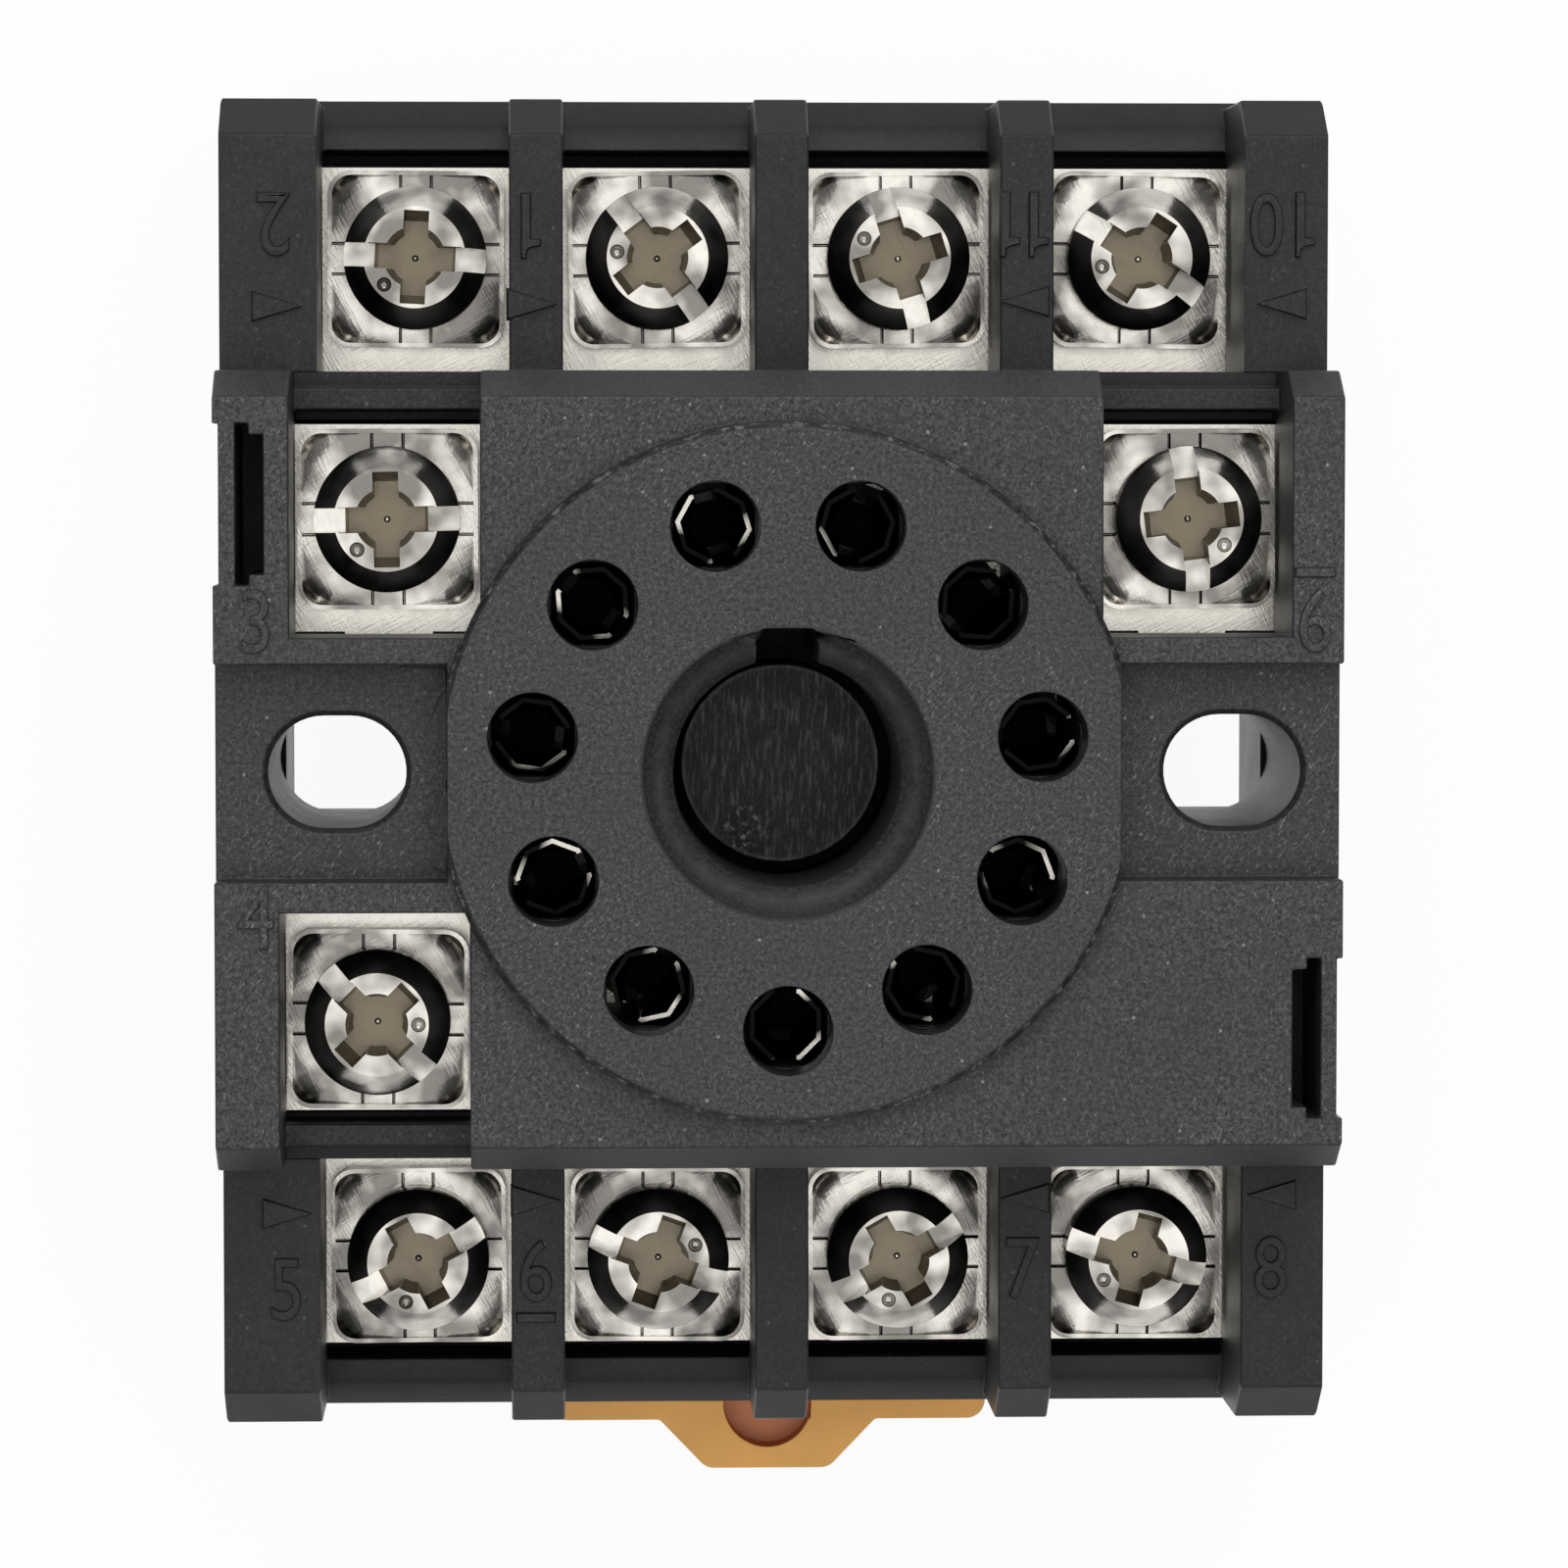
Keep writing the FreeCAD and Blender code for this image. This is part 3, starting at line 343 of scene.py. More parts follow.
class ShapeTree(NodeTree):
    """A Geometry Nodes tree whose sizes are named inputs."""

    def __init__(self, name, sizes):
        super().__init__(bpy.data.node_groups.new(name, "GeometryNodeTree"))
        interface = self.tree.interface
        interface.new_socket("Geometry", in_out="INPUT", socket_type="NodeSocketGeometry")
        interface.new_socket("Geometry", in_out="OUTPUT", socket_type="NodeSocketGeometry")
        place = interface.new_socket("Place", in_out="INPUT", socket_type="NodeSocketVector")
        heading = interface.new_socket("Heading", in_out="INPUT", socket_type="NodeSocketFloat")
        self.keys = {"Place": place.identifier, "Heading": heading.identifier}
        for label, value in sizes.items():
            socket = interface.new_socket(label, in_out="INPUT", socket_type="NodeSocketFloat")
            socket.default_value = value
            self.keys[label] = socket.identifier
        entry = self.add("NodeGroupInput")
        self.size = {label: entry.outputs[label] for label in self.keys}

    def move(self, shape, x=0.0, y=0.0, z=0.0):
        inputs = {"Geometry": shape, "Translation": self.triple(x, y, z)}
        return self.make("GeometryNodeTransform", inputs)

    def turn(self, shape, angle):
        turn = self.make("FunctionNodeEulerToRotation", {0: self.triple(0.0, 0.0, angle)})
        return self.make("GeometryNodeTransform", {"Geometry": shape, "Rotation": turn})

    def join(self, *shapes):
        return self.make("GeometryNodeJoinGeometry", {0: list(reversed(shapes))})

    def hull(self, *shapes):
        return self.make("GeometryNodeConvexHull", {0: self.join(*shapes)})

    def boolean(self, operation, inputs):
        kind = "GeometryNodeMeshBoolean"
        return self.make(kind, inputs, operation=operation, solver="MANIFOLD")

    def unite(self, *shapes):
        return self.boolean("UNION", {1: list(shapes)})

    def meet(self, *shapes):
        return self.boolean("INTERSECT", {1: list(shapes)})

    def cut(self, shape, *cutters):
        return self.boolean("DIFFERENCE", {0: shape, 1: list(cutters)})

    def ring(self, radius, height, steps):
        """A circle of points at a height: the hull of two is a cylinder or cone."""
        inputs = {"Vertices": steps, "Radius": radius}
        return self.move(self.make("GeometryNodeMeshCircle", inputs, fill_type="NONE"), z=height)

    def cone(self, low_radius, high_radius, low, high, steps):
        return self.hull(self.ring(low_radius, low, steps), self.ring(high_radius, high, steps))

    def cylinder(self, radius, low, high, steps):
        return self.cone(radius, radius, low, high, steps)

    def sheet(self, x, y, height):
        inputs = {"Size X": x, "Size Y": y, "Vertices X": 2, "Vertices Y": 2}
        return self.move(self.make("GeometryNodeMeshGrid", inputs), z=height)

    def block(self, x, y, low, high):
        return self.hull(self.sheet(x, y, low), self.sheet(x, y, high))

    def rounded_block(self, side, corner, low, high):
        """A square block with rounded upright edges."""
        span = self.minus(side, self.times(corner, 2.0))
        inputs = {
            "Points": self.sheet(span, span, 0.0),
            "Instance": self.cylinder(corner, low, high, CORNER_STEPS),
        }
        placed = self.make("GeometryNodeInstanceOnPoints", inputs)
        real = self.make("GeometryNodeRealizeInstances", {0: placed})
        return self.make("GeometryNodeConvexHull", {0: real})

    def ball(self, radius, segments, rings):
        inputs = {"Segments": segments, "Rings": rings, "Radius": radius}
        return self.make("GeometryNodeMeshUVSphere", inputs)

    def finish(self, shape, material, recess_shade_material=None, slot_floor=0.0):
        """Place the shape and set its materials: a cross recess takes a darker one for painted
        shade, but for the slot.
        """
        turned = self.turn(shape, self.size["Heading"])
        inputs = {"Geometry": turned, "Translation": self.size["Place"]}
        placed = self.make("GeometryNodeTransform", inputs)
        real = self.make("GeometryNodeRealizeInstances", {0: placed})
        done = self.make("GeometryNodeSetMaterial", {"Geometry": real, "Material": material})
        if recess_shade_material:
            inside = self.in_recess(slot_floor)
            inputs = {"Geometry": done, "Selection": inside, "Material": recess_shade_material}
            done = self.make("GeometryNodeSetMaterial", inputs)
        self.add("NodeGroupOutput", {0: done})

    def in_recess(self, slot_floor):
        """Whether a face lies in the cross recess, off its bright point and the slot's floor."""
        position = self.make("GeometryNodeInputPosition")
        ends = {0: position, 1: self.size["Place"]}
        local = self.make("ShaderNodeVectorMath", ends, operation="SUBTRACT")
        x, y, z = self.add("ShaderNodeSeparateXYZ", {0: local}).outputs
        squares = self.plus(self.maths("POWER", x, 2.0), self.maths("POWER", y, 2.0))
        across = self.maths("SQRT", squares)
        off_point = self.maths("GREATER_THAN", across, POINT_RADIUS * MM)
        close = self.times(self.maths("LESS_THAN", across, CROSS_SHADE_RADIUS * MM), off_point)
        below = self.maths("LESS_THAN", z, CROSS_SHADE_TOP * MM)
        low = self.times(below, self.maths("GREATER_THAN", z, CROSS_SHADE_FOOT * MM))
        on_floor = self.maths("COMPARE", z, slot_floor, LEVEL_TOLERANCE * MM)
        return self.times(self.times(close, low), self.minus(1.0, on_floor))


def thread(tree):
    """A threaded shank that runs up into the head, with a chamfered tip, closed at both ends."""
    pitch = tree.size["Thread pitch"]
    run = tree.size["Shank length"]
    counts = {"Vertices X": THREAD_STEPS + 1, "Vertices Y": THREAD_ROWS + 1}
    grid = tree.make("GeometryNodeMeshGrid", {"Size X": 1.0, "Size Y": 1.0, **counts})
    position = tree.make("GeometryNodeInputPosition")
    x, y, _ = tree.add("ShaderNodeSeparateXYZ", {0: position}).outputs
    share = tree.plus(x, 0.5)
    rise = tree.plus(y, 0.5)
    angle = tree.times(share, 2 * math.pi)
    height = tree.minus(tree.times(rise, tree.plus(run, OVERRUN)), run)
    turns = tree.minus(tree.maths("DIVIDE", height, pitch), share)
    depth = tree.times(tree.size["Thread depth"], 2.0)
    wave = tree.times(tree.maths("PINGPONG", turns, 0.5), depth)
    ridge = tree.minus(tree.size["Thread radius"], wave)
    chamfer = tree.plus(tree.plus(height, run), THREAD_TIP_RADIUS * MM)
    side = tree.maths("MINIMUM", ridge, chamfer)
    off_foot = tree.maths("GREATER_THAN", rise, 0.001)
    off_top = tree.maths("LESS_THAN", rise, 0.999)
    reach = tree.times(side, tree.times(off_foot, off_top))
    place = tree.triple(
        tree.times(reach, tree.maths("COSINE", angle)),
        tree.times(reach, tree.maths("SINE", angle)),
        height,
    )
    shank = tree.make("GeometryNodeSetPosition", {"Geometry": grid, "Position": place})
    return tree.make("GeometryNodeMergeByDistance", {"Geometry": shank, "Distance": SEAM})


def cross_cutter(tree, top):
    """The tapered cross recess, with rounded inner corners."""
    floor = tree.minus(top, tree.size["Cross depth"])
    reach = tree.times(tree.size["Cross reach"], 2.0)
    width = tree.size["Cross width"]
    radius = tree.size["Cross centre"]
    low_reach = tree.times(reach, CROSS_END_TAPER)
    low_width = tree.times(width, CROSS_SIDE_TAPER)
    arm = tree.hull(tree.sheet(low_reach, low_width, floor), tree.sheet(reach, width, top))
    centre = tree.cone(tree.times(radius, CROSS_END_TAPER), radius, floor, top, HOLE_STEPS)
    lid = tree.plus(top, OVERRUN)
    brim = tree.minus(top, SEAM)
    centre = tree.unite(centre, tree.cylinder(radius, brim, lid, HOLE_STEPS))
    bar = tree.unite(arm, tree.block(reach, width, brim, lid))
    return tree.unite(bar, tree.turn(bar, math.pi / 2), centre)


def screw_tree(sizes, plating, cross):
    """A domed clamping screw with a slot, a cross recess, a mark and a threaded shank."""
    tree = ShapeTree("clamping_screw", sizes)
    size = tree.size
    top = size["Head height"]
    barrel = tree.cylinder(size["Head radius"], 0.0, top, HEAD_STEPS)
    head = tree.meet(barrel, tree.ball(size["Dome radius"], HEAD_STEPS, DOME_RINGS))
    slot_floor = tree.minus(top, size["Slot depth"])
    across = tree.times(size["Head radius"], 3.0)
    slot = tree.block(across, size["Slot width"], slot_floor, tree.plus(top, OVERRUN))
    mark = tree.ball(size["Dimple radius"], *MARK_STEPS)
    mark = tree.move(mark, size["Dimple place"], 0.0, top)
    mark = tree.turn(mark, math.radians(DIMPLE_TURN))
    cutters = tree.unite(slot, cross_cutter(tree, top), mark)
    recess_floor = tree.minus(top, size["Cross depth"])
    point = tree.move(tree.ball(POINT_RADIUS * MM, *MARK_STEPS), z=recess_floor)
    shape = tree.unite(tree.cut(tree.unite(head, thread(tree)), cutters), point)
    tree.finish(shape, plating, cross, slot_floor)
    return tree


def washer_tree(sizes, plating):
    """A square washer: rim, flat ring with four pairs of lines, and corners that fall away."""
    tree = ShapeTree("square_washer", sizes)
    size = tree.size
    top = size["Thickness"]
    above = tree.plus(top, OVERRUN)
    plate = tree.rounded_block(size["Side"], size["Corner"], 0.0, top)
    inner = tree.minus(size["Side"], tree.times(size["Rim"], 2.0))
    inner_corner = tree.minus(size["Corner"], size["Rim"])
    level = tree.minus(top, size["Rim rise"])
    tray = tree.rounded_block(inner, inner_corner, level, above)
    low = tree.minus(level, size["Dish depth"])
    well = tree.rounded_block(inner, inner_corner, low, above)
    shoulder = tree.minus(level, size["Shoulder drop"])
    foot_radius = tree.plus(size["Shoulder radius"], size["Dish run"])
    hub = tree.hull(
        tree.ring(foot_radius, low, RING_STEPS),
        tree.ring(size["Shoulder radius"], shoulder, RING_STEPS),
        tree.ring(size["Ring radius"], level, RING_STEPS),
    )
    core = tree.cylinder(size["Ring radius"], tree.minus(level, SEAM), above, RING_STEPS)
    corners = tree.cut(well, tree.unite(hub, core))
    hole = tree.cylinder(size["Hole radius"], -OVERRUN, above, HOLE_STEPS)
    bed = tree.minus(level, size["Line depth"])
    width = size["Line width"]
    line = tree.hull(
        tree.sheet(inner, LINE_BED * MM, bed),
        tree.sheet(inner, width, level),
        tree.sheet(inner, width, above),
    )
    half_gap = tree.times(size["Line gap"], 0.5)
    lower = tree.move(line, y=tree.times(half_gap, -1.0))
    pair = tree.join(tree.move(line, y=half_gap), lower)
    lines = tree.unite(pair, tree.turn(pair, math.pi / 2))
    tree.finish(tree.cut(plate, tray, corners, hole, lines), plating)
    return tree


def new_object(name, data):
    """An object in the scene's collection."""
    item = bpy.data.objects.new(name, data)
    bpy.context.scene.collection.objects.link(item)
    return item


def shaped(tree, name, values):
    """Run a tree with its inputs set, and keep the result as a plain mesh."""
    maker = new_object(name, bpy.data.meshes.new(name))
    modifier = maker.modifiers.new("shape", "NODES")
    modifier.node_group = tree.tree
    for label, value in values.items():
        modifier[tree.keys[label]] = value
    depsgraph = bpy.context.evaluated_depsgraph_get()
    mesh = bpy.data.meshes.new_from_object(
        maker.evaluated_get(depsgraph), preserve_all_data_layers=True, depsgraph=depsgraph
    )
    maker.modifiers.remove(modifier)
    maker.data = mesh
    mesh.name = name
    if not mesh.polygons:
        raise RuntimeError(f"{name} came out empty")
    smooth_with_sharp_edges(mesh)
    return maker


def smooth_with_sharp_edges(mesh):
    mesh.shade_smooth()
    mesh.set_sharp_from_angle(angle=SHARP_ANGLE)


# Materials


def new_material(name):
    """A material with a Principled shader, and its nodes ready to be added to."""
    material = bpy.data.materials.new(name)
    material.use_nodes = True
    shader = material.node_tree.nodes["Principled BSDF"]
    return material, NodeTree(material.node_tree), shader


def blend(nodes, share, low, high):
    """A colour between two others by a share from 0 to 1."""
    node = nodes.add("ShaderNodeMix", {0: share, 6: low, 7: high}, data_type="RGBA")
    return node.outputs[2]


def ramp(nodes, value, low, high, out_low=0.0, out_high=1.0):
    inputs = {0: value, 1: low, 2: high, 3: out_low, 4: out_high}
    return nodes.make("ShaderNodeMapRange", inputs)


def noise(nodes, vector, scale, detail=3.0, roughness=0.6):
    inputs = {"Vector": vector, "Scale": scale, "Detail": detail, "Roughness": roughness}
    return nodes.make("ShaderNodeTexNoise", inputs)


def stretched(nodes, vector, angle, stretch):
    """Coordinates turned about Z, on which a pattern is drawn out into streaks."""
    inputs = {"Vector": vector, "Rotation": (0.0, 0.0, angle), "Scale": (1.0, stretch, 1.0)}
    return nodes.make("ShaderNodeMapping", inputs, vector_type="TEXTURE")


def four(rgb, share=1.0):
    return (rgb[0] * share, rgb[1] * share, rgb[2] * share, 1.0)


def scaled(nodes, tone, factor):
    """A colour made lighter or darker by a factor."""
    return nodes.make("ShaderNodeVectorMath", {0: tone, "Scale": factor}, operation="SCALE")


def from_axis(nodes, place):
    """A point's level distance from the relay axis, and its height."""
    x, y, height = nodes.add("ShaderNodeSeparateXYZ", {0: place}).outputs
    ends = {0: nodes.triple(x, y, 0.0), 1: (AXIS_X * MM, AXIS_Y * MM, 0.0)}
    return nodes.add("ShaderNodeVectorMath", ends, operation="DISTANCE").outputs["Value"], height


def band(nodes, value, middle, half_width):
    """1 where the value is at the middle, falling to 0 on both sides."""
    off = nodes.maths("ABSOLUTE", nodes.minus(value, middle))
    return ramp(nodes, off, 0.0, half_width, 1.0, 0.0)


def bump(nodes, height, strength, depth):
    inputs = {"Height": height, "Strength": strength, "Distance": depth * MM}
    return nodes.make("ShaderNodeBump", inputs)


def fibre_noise(nodes, place):
    """Short fibres in three directions, the first of them only in some regions."""
    first, second, third = (
        noise(nodes, stretched(nodes, place, math.radians(turn), stretch), scale, 2.0, 0.5)
        for turn, stretch, scale in FIBRES
    )
    region = ramp(nodes, noise(nodes, place, 95.0, 1.0, 0.5), 0.42, 0.58)
    second = ramp(nodes, second, 0.62, 0.80)
    third = ramp(nodes, third, 0.62, 0.80)
    turned = nodes.maths("MAXIMUM", second, third)
    fibres = nodes.times(ramp(nodes, first, 0.60, 0.78), region)
    return nodes.plus(fibres, nodes.times(turned, 0.6))


def disc_tone(nodes, tone, place, across, level, slope, patchy, base, fleck):
    """Painted sheen on the funnel's slope and painted shade along its rim; on the disc's edge,
    ragged painted shade with pale painted glints.
    """
    # Painted sheen: a patchy bright band half way down the funnel's slope.
    painted_sheen = nodes.times(band(nodes, across, FUNNEL_MIDDLE * MM, 0.45 * MM), slope)
    tone = blend(nodes, nodes.times(painted_sheen, patchy), tone, four(base, 5.0))
    lip = nodes.maths("GREATER_THAN", level, (DECK_TOP + 0.2) * MM)
    # Painted shade: a thin dark line along the funnel's rim.
    rim = nodes.times(band(nodes, across, FUNNEL_RIM * MM, 0.16 * MM), lip)
    tone = blend(nodes, nodes.times(rim, 0.85), tone, four(base, 0.1))
    # Painted shade and painted highlight on the disc's edge: dark in ragged stretches, with pale
    # glints between them.
    edge_light_noise = noise(nodes, place, 2100.0, 2.0, 0.6)
    edge = nodes.times(band(nodes, across, DISC_EDGE * MM, 0.2 * MM), lip)
    dark = nodes.times(edge, ramp(nodes, edge_light_noise, 0.40, 0.50, 0.9, 0.0))
    tone = blend(nodes, dark, tone, four(base, 0.1))
    pale = nodes.times(edge, ramp(nodes, edge_light_noise, 0.56, 0.64))
    return blend(nodes, pale, tone, four(fleck, 0.8))


def post_tone(nodes, tone, place, across, level, flat, patchy, fleck):
    """Drawn streaks on the post in the bore, and pale patches along its rim."""
    on_post = nodes.maths("LESS_THAN", across, POST_RADIUS * MM)
    drawn = noise(nodes, stretched(nodes, place, math.radians(-2), 7.0), 5200.0, 3.0, 0.7)
    streaks = nodes.times(on_post, ramp(nodes, drawn, 0.50, 0.66, 0.0, 0.55))
    tone = blend(nodes, streaks, tone, four(fleck))
    rim = nodes.times(band(nodes, across, POST_RADIUS * MM, 0.3 * MM), flat)
    below = nodes.maths("LESS_THAN", level, (POST_SPOT[2] + 0.5) * MM)
    return blend(nodes, nodes.times(nodes.times(rim, below), patchy), tone, four(fleck, 0.8))


def torn_spot(nodes, tone, place, base, fleck):
    """The rough spot on the post: its tone, and its relief."""
    middle = tuple((at + offset) * MM for at, offset in zip(POST_SPOT, (AXIS_X, AXIS_Y, 0.0)))
    gap = nodes.add("ShaderNodeVectorMath", {0: place, 1: middle}, operation="DISTANCE")
    radius = POST_SPOT_RADIUS * MM
    spot = ramp(nodes, gap.outputs["Value"], 0.4 * radius, radius, 1.0, 0.0)
    torn = noise(nodes, place, 2600.0, 3.0, 0.6)
    dark = nodes.times(spot, ramp(nodes, torn, 0.50, 0.44))
    tone = blend(nodes, dark, tone, four(base, 0.0))
    pale = nodes.times(spot, ramp(nodes, torn, 0.56, 0.62))
    return blend(nodes, pale, tone, four(fleck, 1.3)), nodes.times(spot, torn)


def moulding_material(name, base, fleck):
    """Mineral-filled thermoset: fine grain, short pale fibres and specks on its level faces."""
    material, nodes, shader = new_material(name)
    place = nodes.add("ShaderNodeTexCoord").outputs["Object"]
    facing = nodes.add("ShaderNodeTexCoord").outputs["Normal"]
    up = nodes.add("ShaderNodeSeparateXYZ", {0: facing}).outputs[2]
    flat = ramp(nodes, up, 0.8, 0.97)
    slope = nodes.minus(ramp(nodes, up, 0.3, 0.6), flat)
    grain = noise(nodes, place, 5200.0, 5.0, 0.85)
    cloud = noise(nodes, place, 330.0, 3.0, 0.55)
    fibres = fibre_noise(nodes, place)
    cells = nodes.add("ShaderNodeTexVoronoi", {"Vector": place, "Scale": 900.0})
    specks = ramp(nodes, cells.outputs["Distance"], 0.04, 0.09, 1.0, 0.0)
    tone = blend(nodes, ramp(nodes, grain, 0.40, 0.64), four(base, 0.0), four(base, 3.2))
    clouded = nodes.times(ramp(nodes, cloud, 0.35, 0.7), 0.35)
    tone = blend(nodes, clouded, tone, four(base, 1.6))
    shown = nodes.times(nodes.plus(nodes.times(flat, 0.55), 0.05), fibres)
    tone = blend(nodes, shown, tone, four(fleck))
    tone = blend(nodes, nodes.times(specks, nodes.times(flat, 0.4)), tone, four(fleck, 1.3))
    # Painted shade: faces that slope or stand upright are darkened towards about a third of the
    # base colour.
    tone = blend(nodes, ramp(nodes, flat, 0.0, 1.0, 0.55, 0.0), tone, four(base, 0.35))
    across, level = from_axis(nodes, place)
    # Painted light and shade: the tone is darker at and below the ribs' level, and lighter at and
    # above the deck.
    tone = scaled(nodes, tone, ramp(nodes, level, RIB_TOP * MM, DECK_TOP * MM, 0.65, 2.3))
    patchy = ramp(nodes, noise(nodes, place, 900.0, 3.0, 0.7), 0.35, 0.65, 0.25, 1.0)
    tone = disc_tone(nodes, tone, place, across, level, slope, patchy, base, fleck)
    tone = post_tone(nodes, tone, place, across, level, flat, patchy, fleck)
    tone, torn = torn_spot(nodes, tone, place, base, fleck)
    rough = ramp(nodes, nodes.plus(grain, cloud), 0.6, 1.4, 0.46, 0.68)
    smoother = ramp(nodes, flat, 0.0, 1.0, 0.68, 1.0)
    gloss = ramp(nodes, flat, 0.0, 1.0, 0.6, 0.32)
    dimmed = ramp(nodes, slope, 0.0, 1.0, 1.0, 0.3)
    height = nodes.plus(nodes.plus(grain, nodes.times(fibres, 0.5)), torn)
    finish = {
        "Base Color": tone,
        "Roughness": nodes.times(rough, smoother),
        "Specular IOR Level": nodes.times(gloss, dimmed),
        "Normal": bump(nodes, height, 0.9, 0.035),
    }
    nodes.feed_all(shader, finish)
    return material


def plated_material(name, base, rough, scratch=1.0, reflection_shade=1.0):
    """Nickel plate: stained tone, large patches of painted reflection that darken it, soft
    roughness and fine drawn scratches.
    """
    material, nodes, shader = new_material(name)
    place = nodes.add("ShaderNodeTexCoord").outputs["Object"]
    stain = noise(nodes, place, 900.0, 4.0, 0.6)
    drawn = noise(nodes, stretched(nodes, place, math.radians(28), 9.0), 9000.0, 3.0, 0.6)
    crossing = noise(nodes, stretched(nodes, place, math.radians(-64), 8.0), 7500.0, 3.0, 0.6)
    tone = blend(nodes, ramp(nodes, stain, 0.3, 0.7), four(base, 0.86), four(base, 1.08))
    # Painted reflection: large soft patches darken the tone down to the reflection shade share.
    painted_reflection_patches = noise(nodes, place, 420.0, 2.0, 0.5)
    tone = scaled(nodes, tone, ramp(nodes, painted_reflection_patches, 0.40, 0.62, reflection_shade, 1.0))
    tone = blend(nodes, nodes.times(ramp(nodes, drawn, 0.62, 0.75), 0.3), tone, four(base, 0.45))
    finish = {
        "Base Color": tone,
        "Metallic": 1.0,
        "Roughness": ramp(nodes, stain, 0.3, 0.75, rough * 0.7, rough * 1.5),
        "Normal": bump(nodes, nodes.plus(drawn, crossing), 0.35 * scratch, 0.02),
    }
    nodes.feed_all(shader, finish)
    return material


def contact_material(name, base, mouth):
    """The contacts' plating, with painted shade: near black inside the clips and in patches on
    their cut edges, which shine only here and there.
    """
    material = plated_material(name, base, 0.24, 1.3)
    nodes = NodeTree(material.node_tree)
    shader = material.node_tree.nodes["Principled BSDF"]
    place = nodes.add("ShaderNodeTexCoord").outputs["Object"]
    across, height = from_axis(nodes, place)
    clip = nodes.maths("LESS_THAN", across, CLIP_REACH * MM)
    inside = nodes.maths("LESS_THAN", height, mouth - 0.06 * MM)
    patches = ramp(nodes, noise(nodes, place, 260.0, 1.0, 0.4), 0.55, 0.62, 1.0, 0.1)
    # Painted shade: within the clips the plating is darkened to near black, below the mouth
    # throughout and at the mouth all but in scattered patches.
    dimmed = nodes.maths("MAXIMUM", nodes.times(inside, 0.98), patches)
    plating = shader.inputs["Base Color"].links[0].from_socket
    tone = blend(nodes, nodes.times(clip, dimmed), plating, four(base, 0.008))
    nodes.feed(shader.inputs["Base Color"], tone)
    return material


def latch_material(name, base):
    """Orange moulded nylon with faint flow clouds and a fine matt grain."""
    material, nodes, shader = new_material(name)
    place = nodes.add("ShaderNodeTexCoord").outputs["Object"]
    cloud = noise(nodes, place, 240.0, 3.0, 0.5)
    grain = noise(nodes, place, 5200.0, 2.0, 0.5)
    tone = blend(nodes, ramp(nodes, cloud, 0.3, 0.7), four(base, 0.88), four(base, 1.06))
    finish = {
        "Base Color": tone,
        "Roughness": ramp(nodes, grain, 0.3, 0.7, 0.40, 0.54),
        "Subsurface Weight": 0.12,
        "Subsurface Radius": (1.0, 0.45, 0.15),
        "Subsurface Scale": 0.4 * MM,
        "Normal": bump(nodes, grain, 0.3, 0.02),
    }
    nodes.feed_all(shader, finish)
    return material


def floor_material():
    """A white floor that keeps a soft shadow, and is clear from below."""
    material = bpy.data.materials.new("white_floor")
    material.use_nodes = True
    material.node_tree.nodes.clear()
    nodes = NodeTree(material.node_tree)
    rays = nodes.add("ShaderNodeLightPath").outputs
    seen = nodes.maths("MAXIMUM", rays["Is Camera Ray"], rays["Is Glossy Ray"])
    seen = nodes.maths("MAXIMUM", seen, rays["Is Transmission Ray"])
    diffuse = nodes.make("ShaderNodeBsdfDiffuse", {"Color": (0.8, 0.8, 0.8, 1.0)})
    glow = nodes.make("ShaderNodeEmission", {"Strength": 1.0})
    share = nodes.times(seen, FLOOR_GLOW)
    lit = nodes.make("ShaderNodeMixShader", {0: share, 1: diffuse, 2: glow})
    clear = nodes.make("ShaderNodeBsdfTransparent")
    below = nodes.add("ShaderNodeNewGeometry").outputs["Backfacing"]
    mixed = nodes.make("ShaderNodeMixShader", {0: below, 1: lit, 2: clear})
    nodes.add("ShaderNodeOutputMaterial", {"Surface": mixed})
    return material


# Meshes


def merged_copy(node, name):
    """A copy of a CAD node's mesh, made whole, with its flat faces in one piece."""
    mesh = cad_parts[node].data.copy()
    mesh.name = name
    if "custom_normal" in mesh.attributes:
        mesh.attributes.remove(mesh.attributes["custom_normal"])
    build = bmesh.new()
    build.from_mesh(mesh)
    bmesh.ops.remove_doubles(build, verts=build.verts, dist=MERGE_DISTANCE)
    bmesh.ops.dissolve_limit(
        build, angle_limit=FLAT_ANGLE, verts=build.verts, edges=build.edges
    )
    build.to_mesh(mesh)
    build.free()
    mesh.materials.clear()
    smooth_with_sharp_edges(mesh)
    return new_object(name, mesh)


def soften_edges(piece, width, split_ceilings=False):
    """Bevel the sharp edges, less beside short ones, so that no face folds over."""
    build = bmesh.new()
    build.from_mesh(piece.data)
    if split_ceilings:
        ceilings = [face for face in build.faces if len(face.verts) > 4 and face.normal.z < -0.9]
        bmesh.ops.triangulate(build, faces=ceilings)
    room = {vertex: min(edge.calc_length() for edge in vertex.link_edges) for vertex in build.verts}
    weights = build.edges.layers.float.new("bevel_weight_edge")
    for edge in build.edges:
        if len(edge.link_faces) == 2 and edge.calc_face_angle() >= SHARP_ANGLE:
            least = min(room[vertex] for vertex in edge.verts)
            edge[weights] = min(1.0, SOFT_SHARE * least / width)
    build.to_mesh(piece.data)
    build.free()
    bevel = piece.modifiers.new("edges", "BEVEL")
    bevel.width = width
    bevel.segments = SOFT_SEGMENTS
    bevel.limit_method = "WEIGHT"
    bevel.use_clamp_overlap = False
    bevel.harden_normals = True


def dress(piece, body, slot, *nodes):
    """The piece rides a body and stands for the CAD nodes; the slot is not used."""
    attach(piece, body)
    if nodes:
        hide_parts(*nodes)


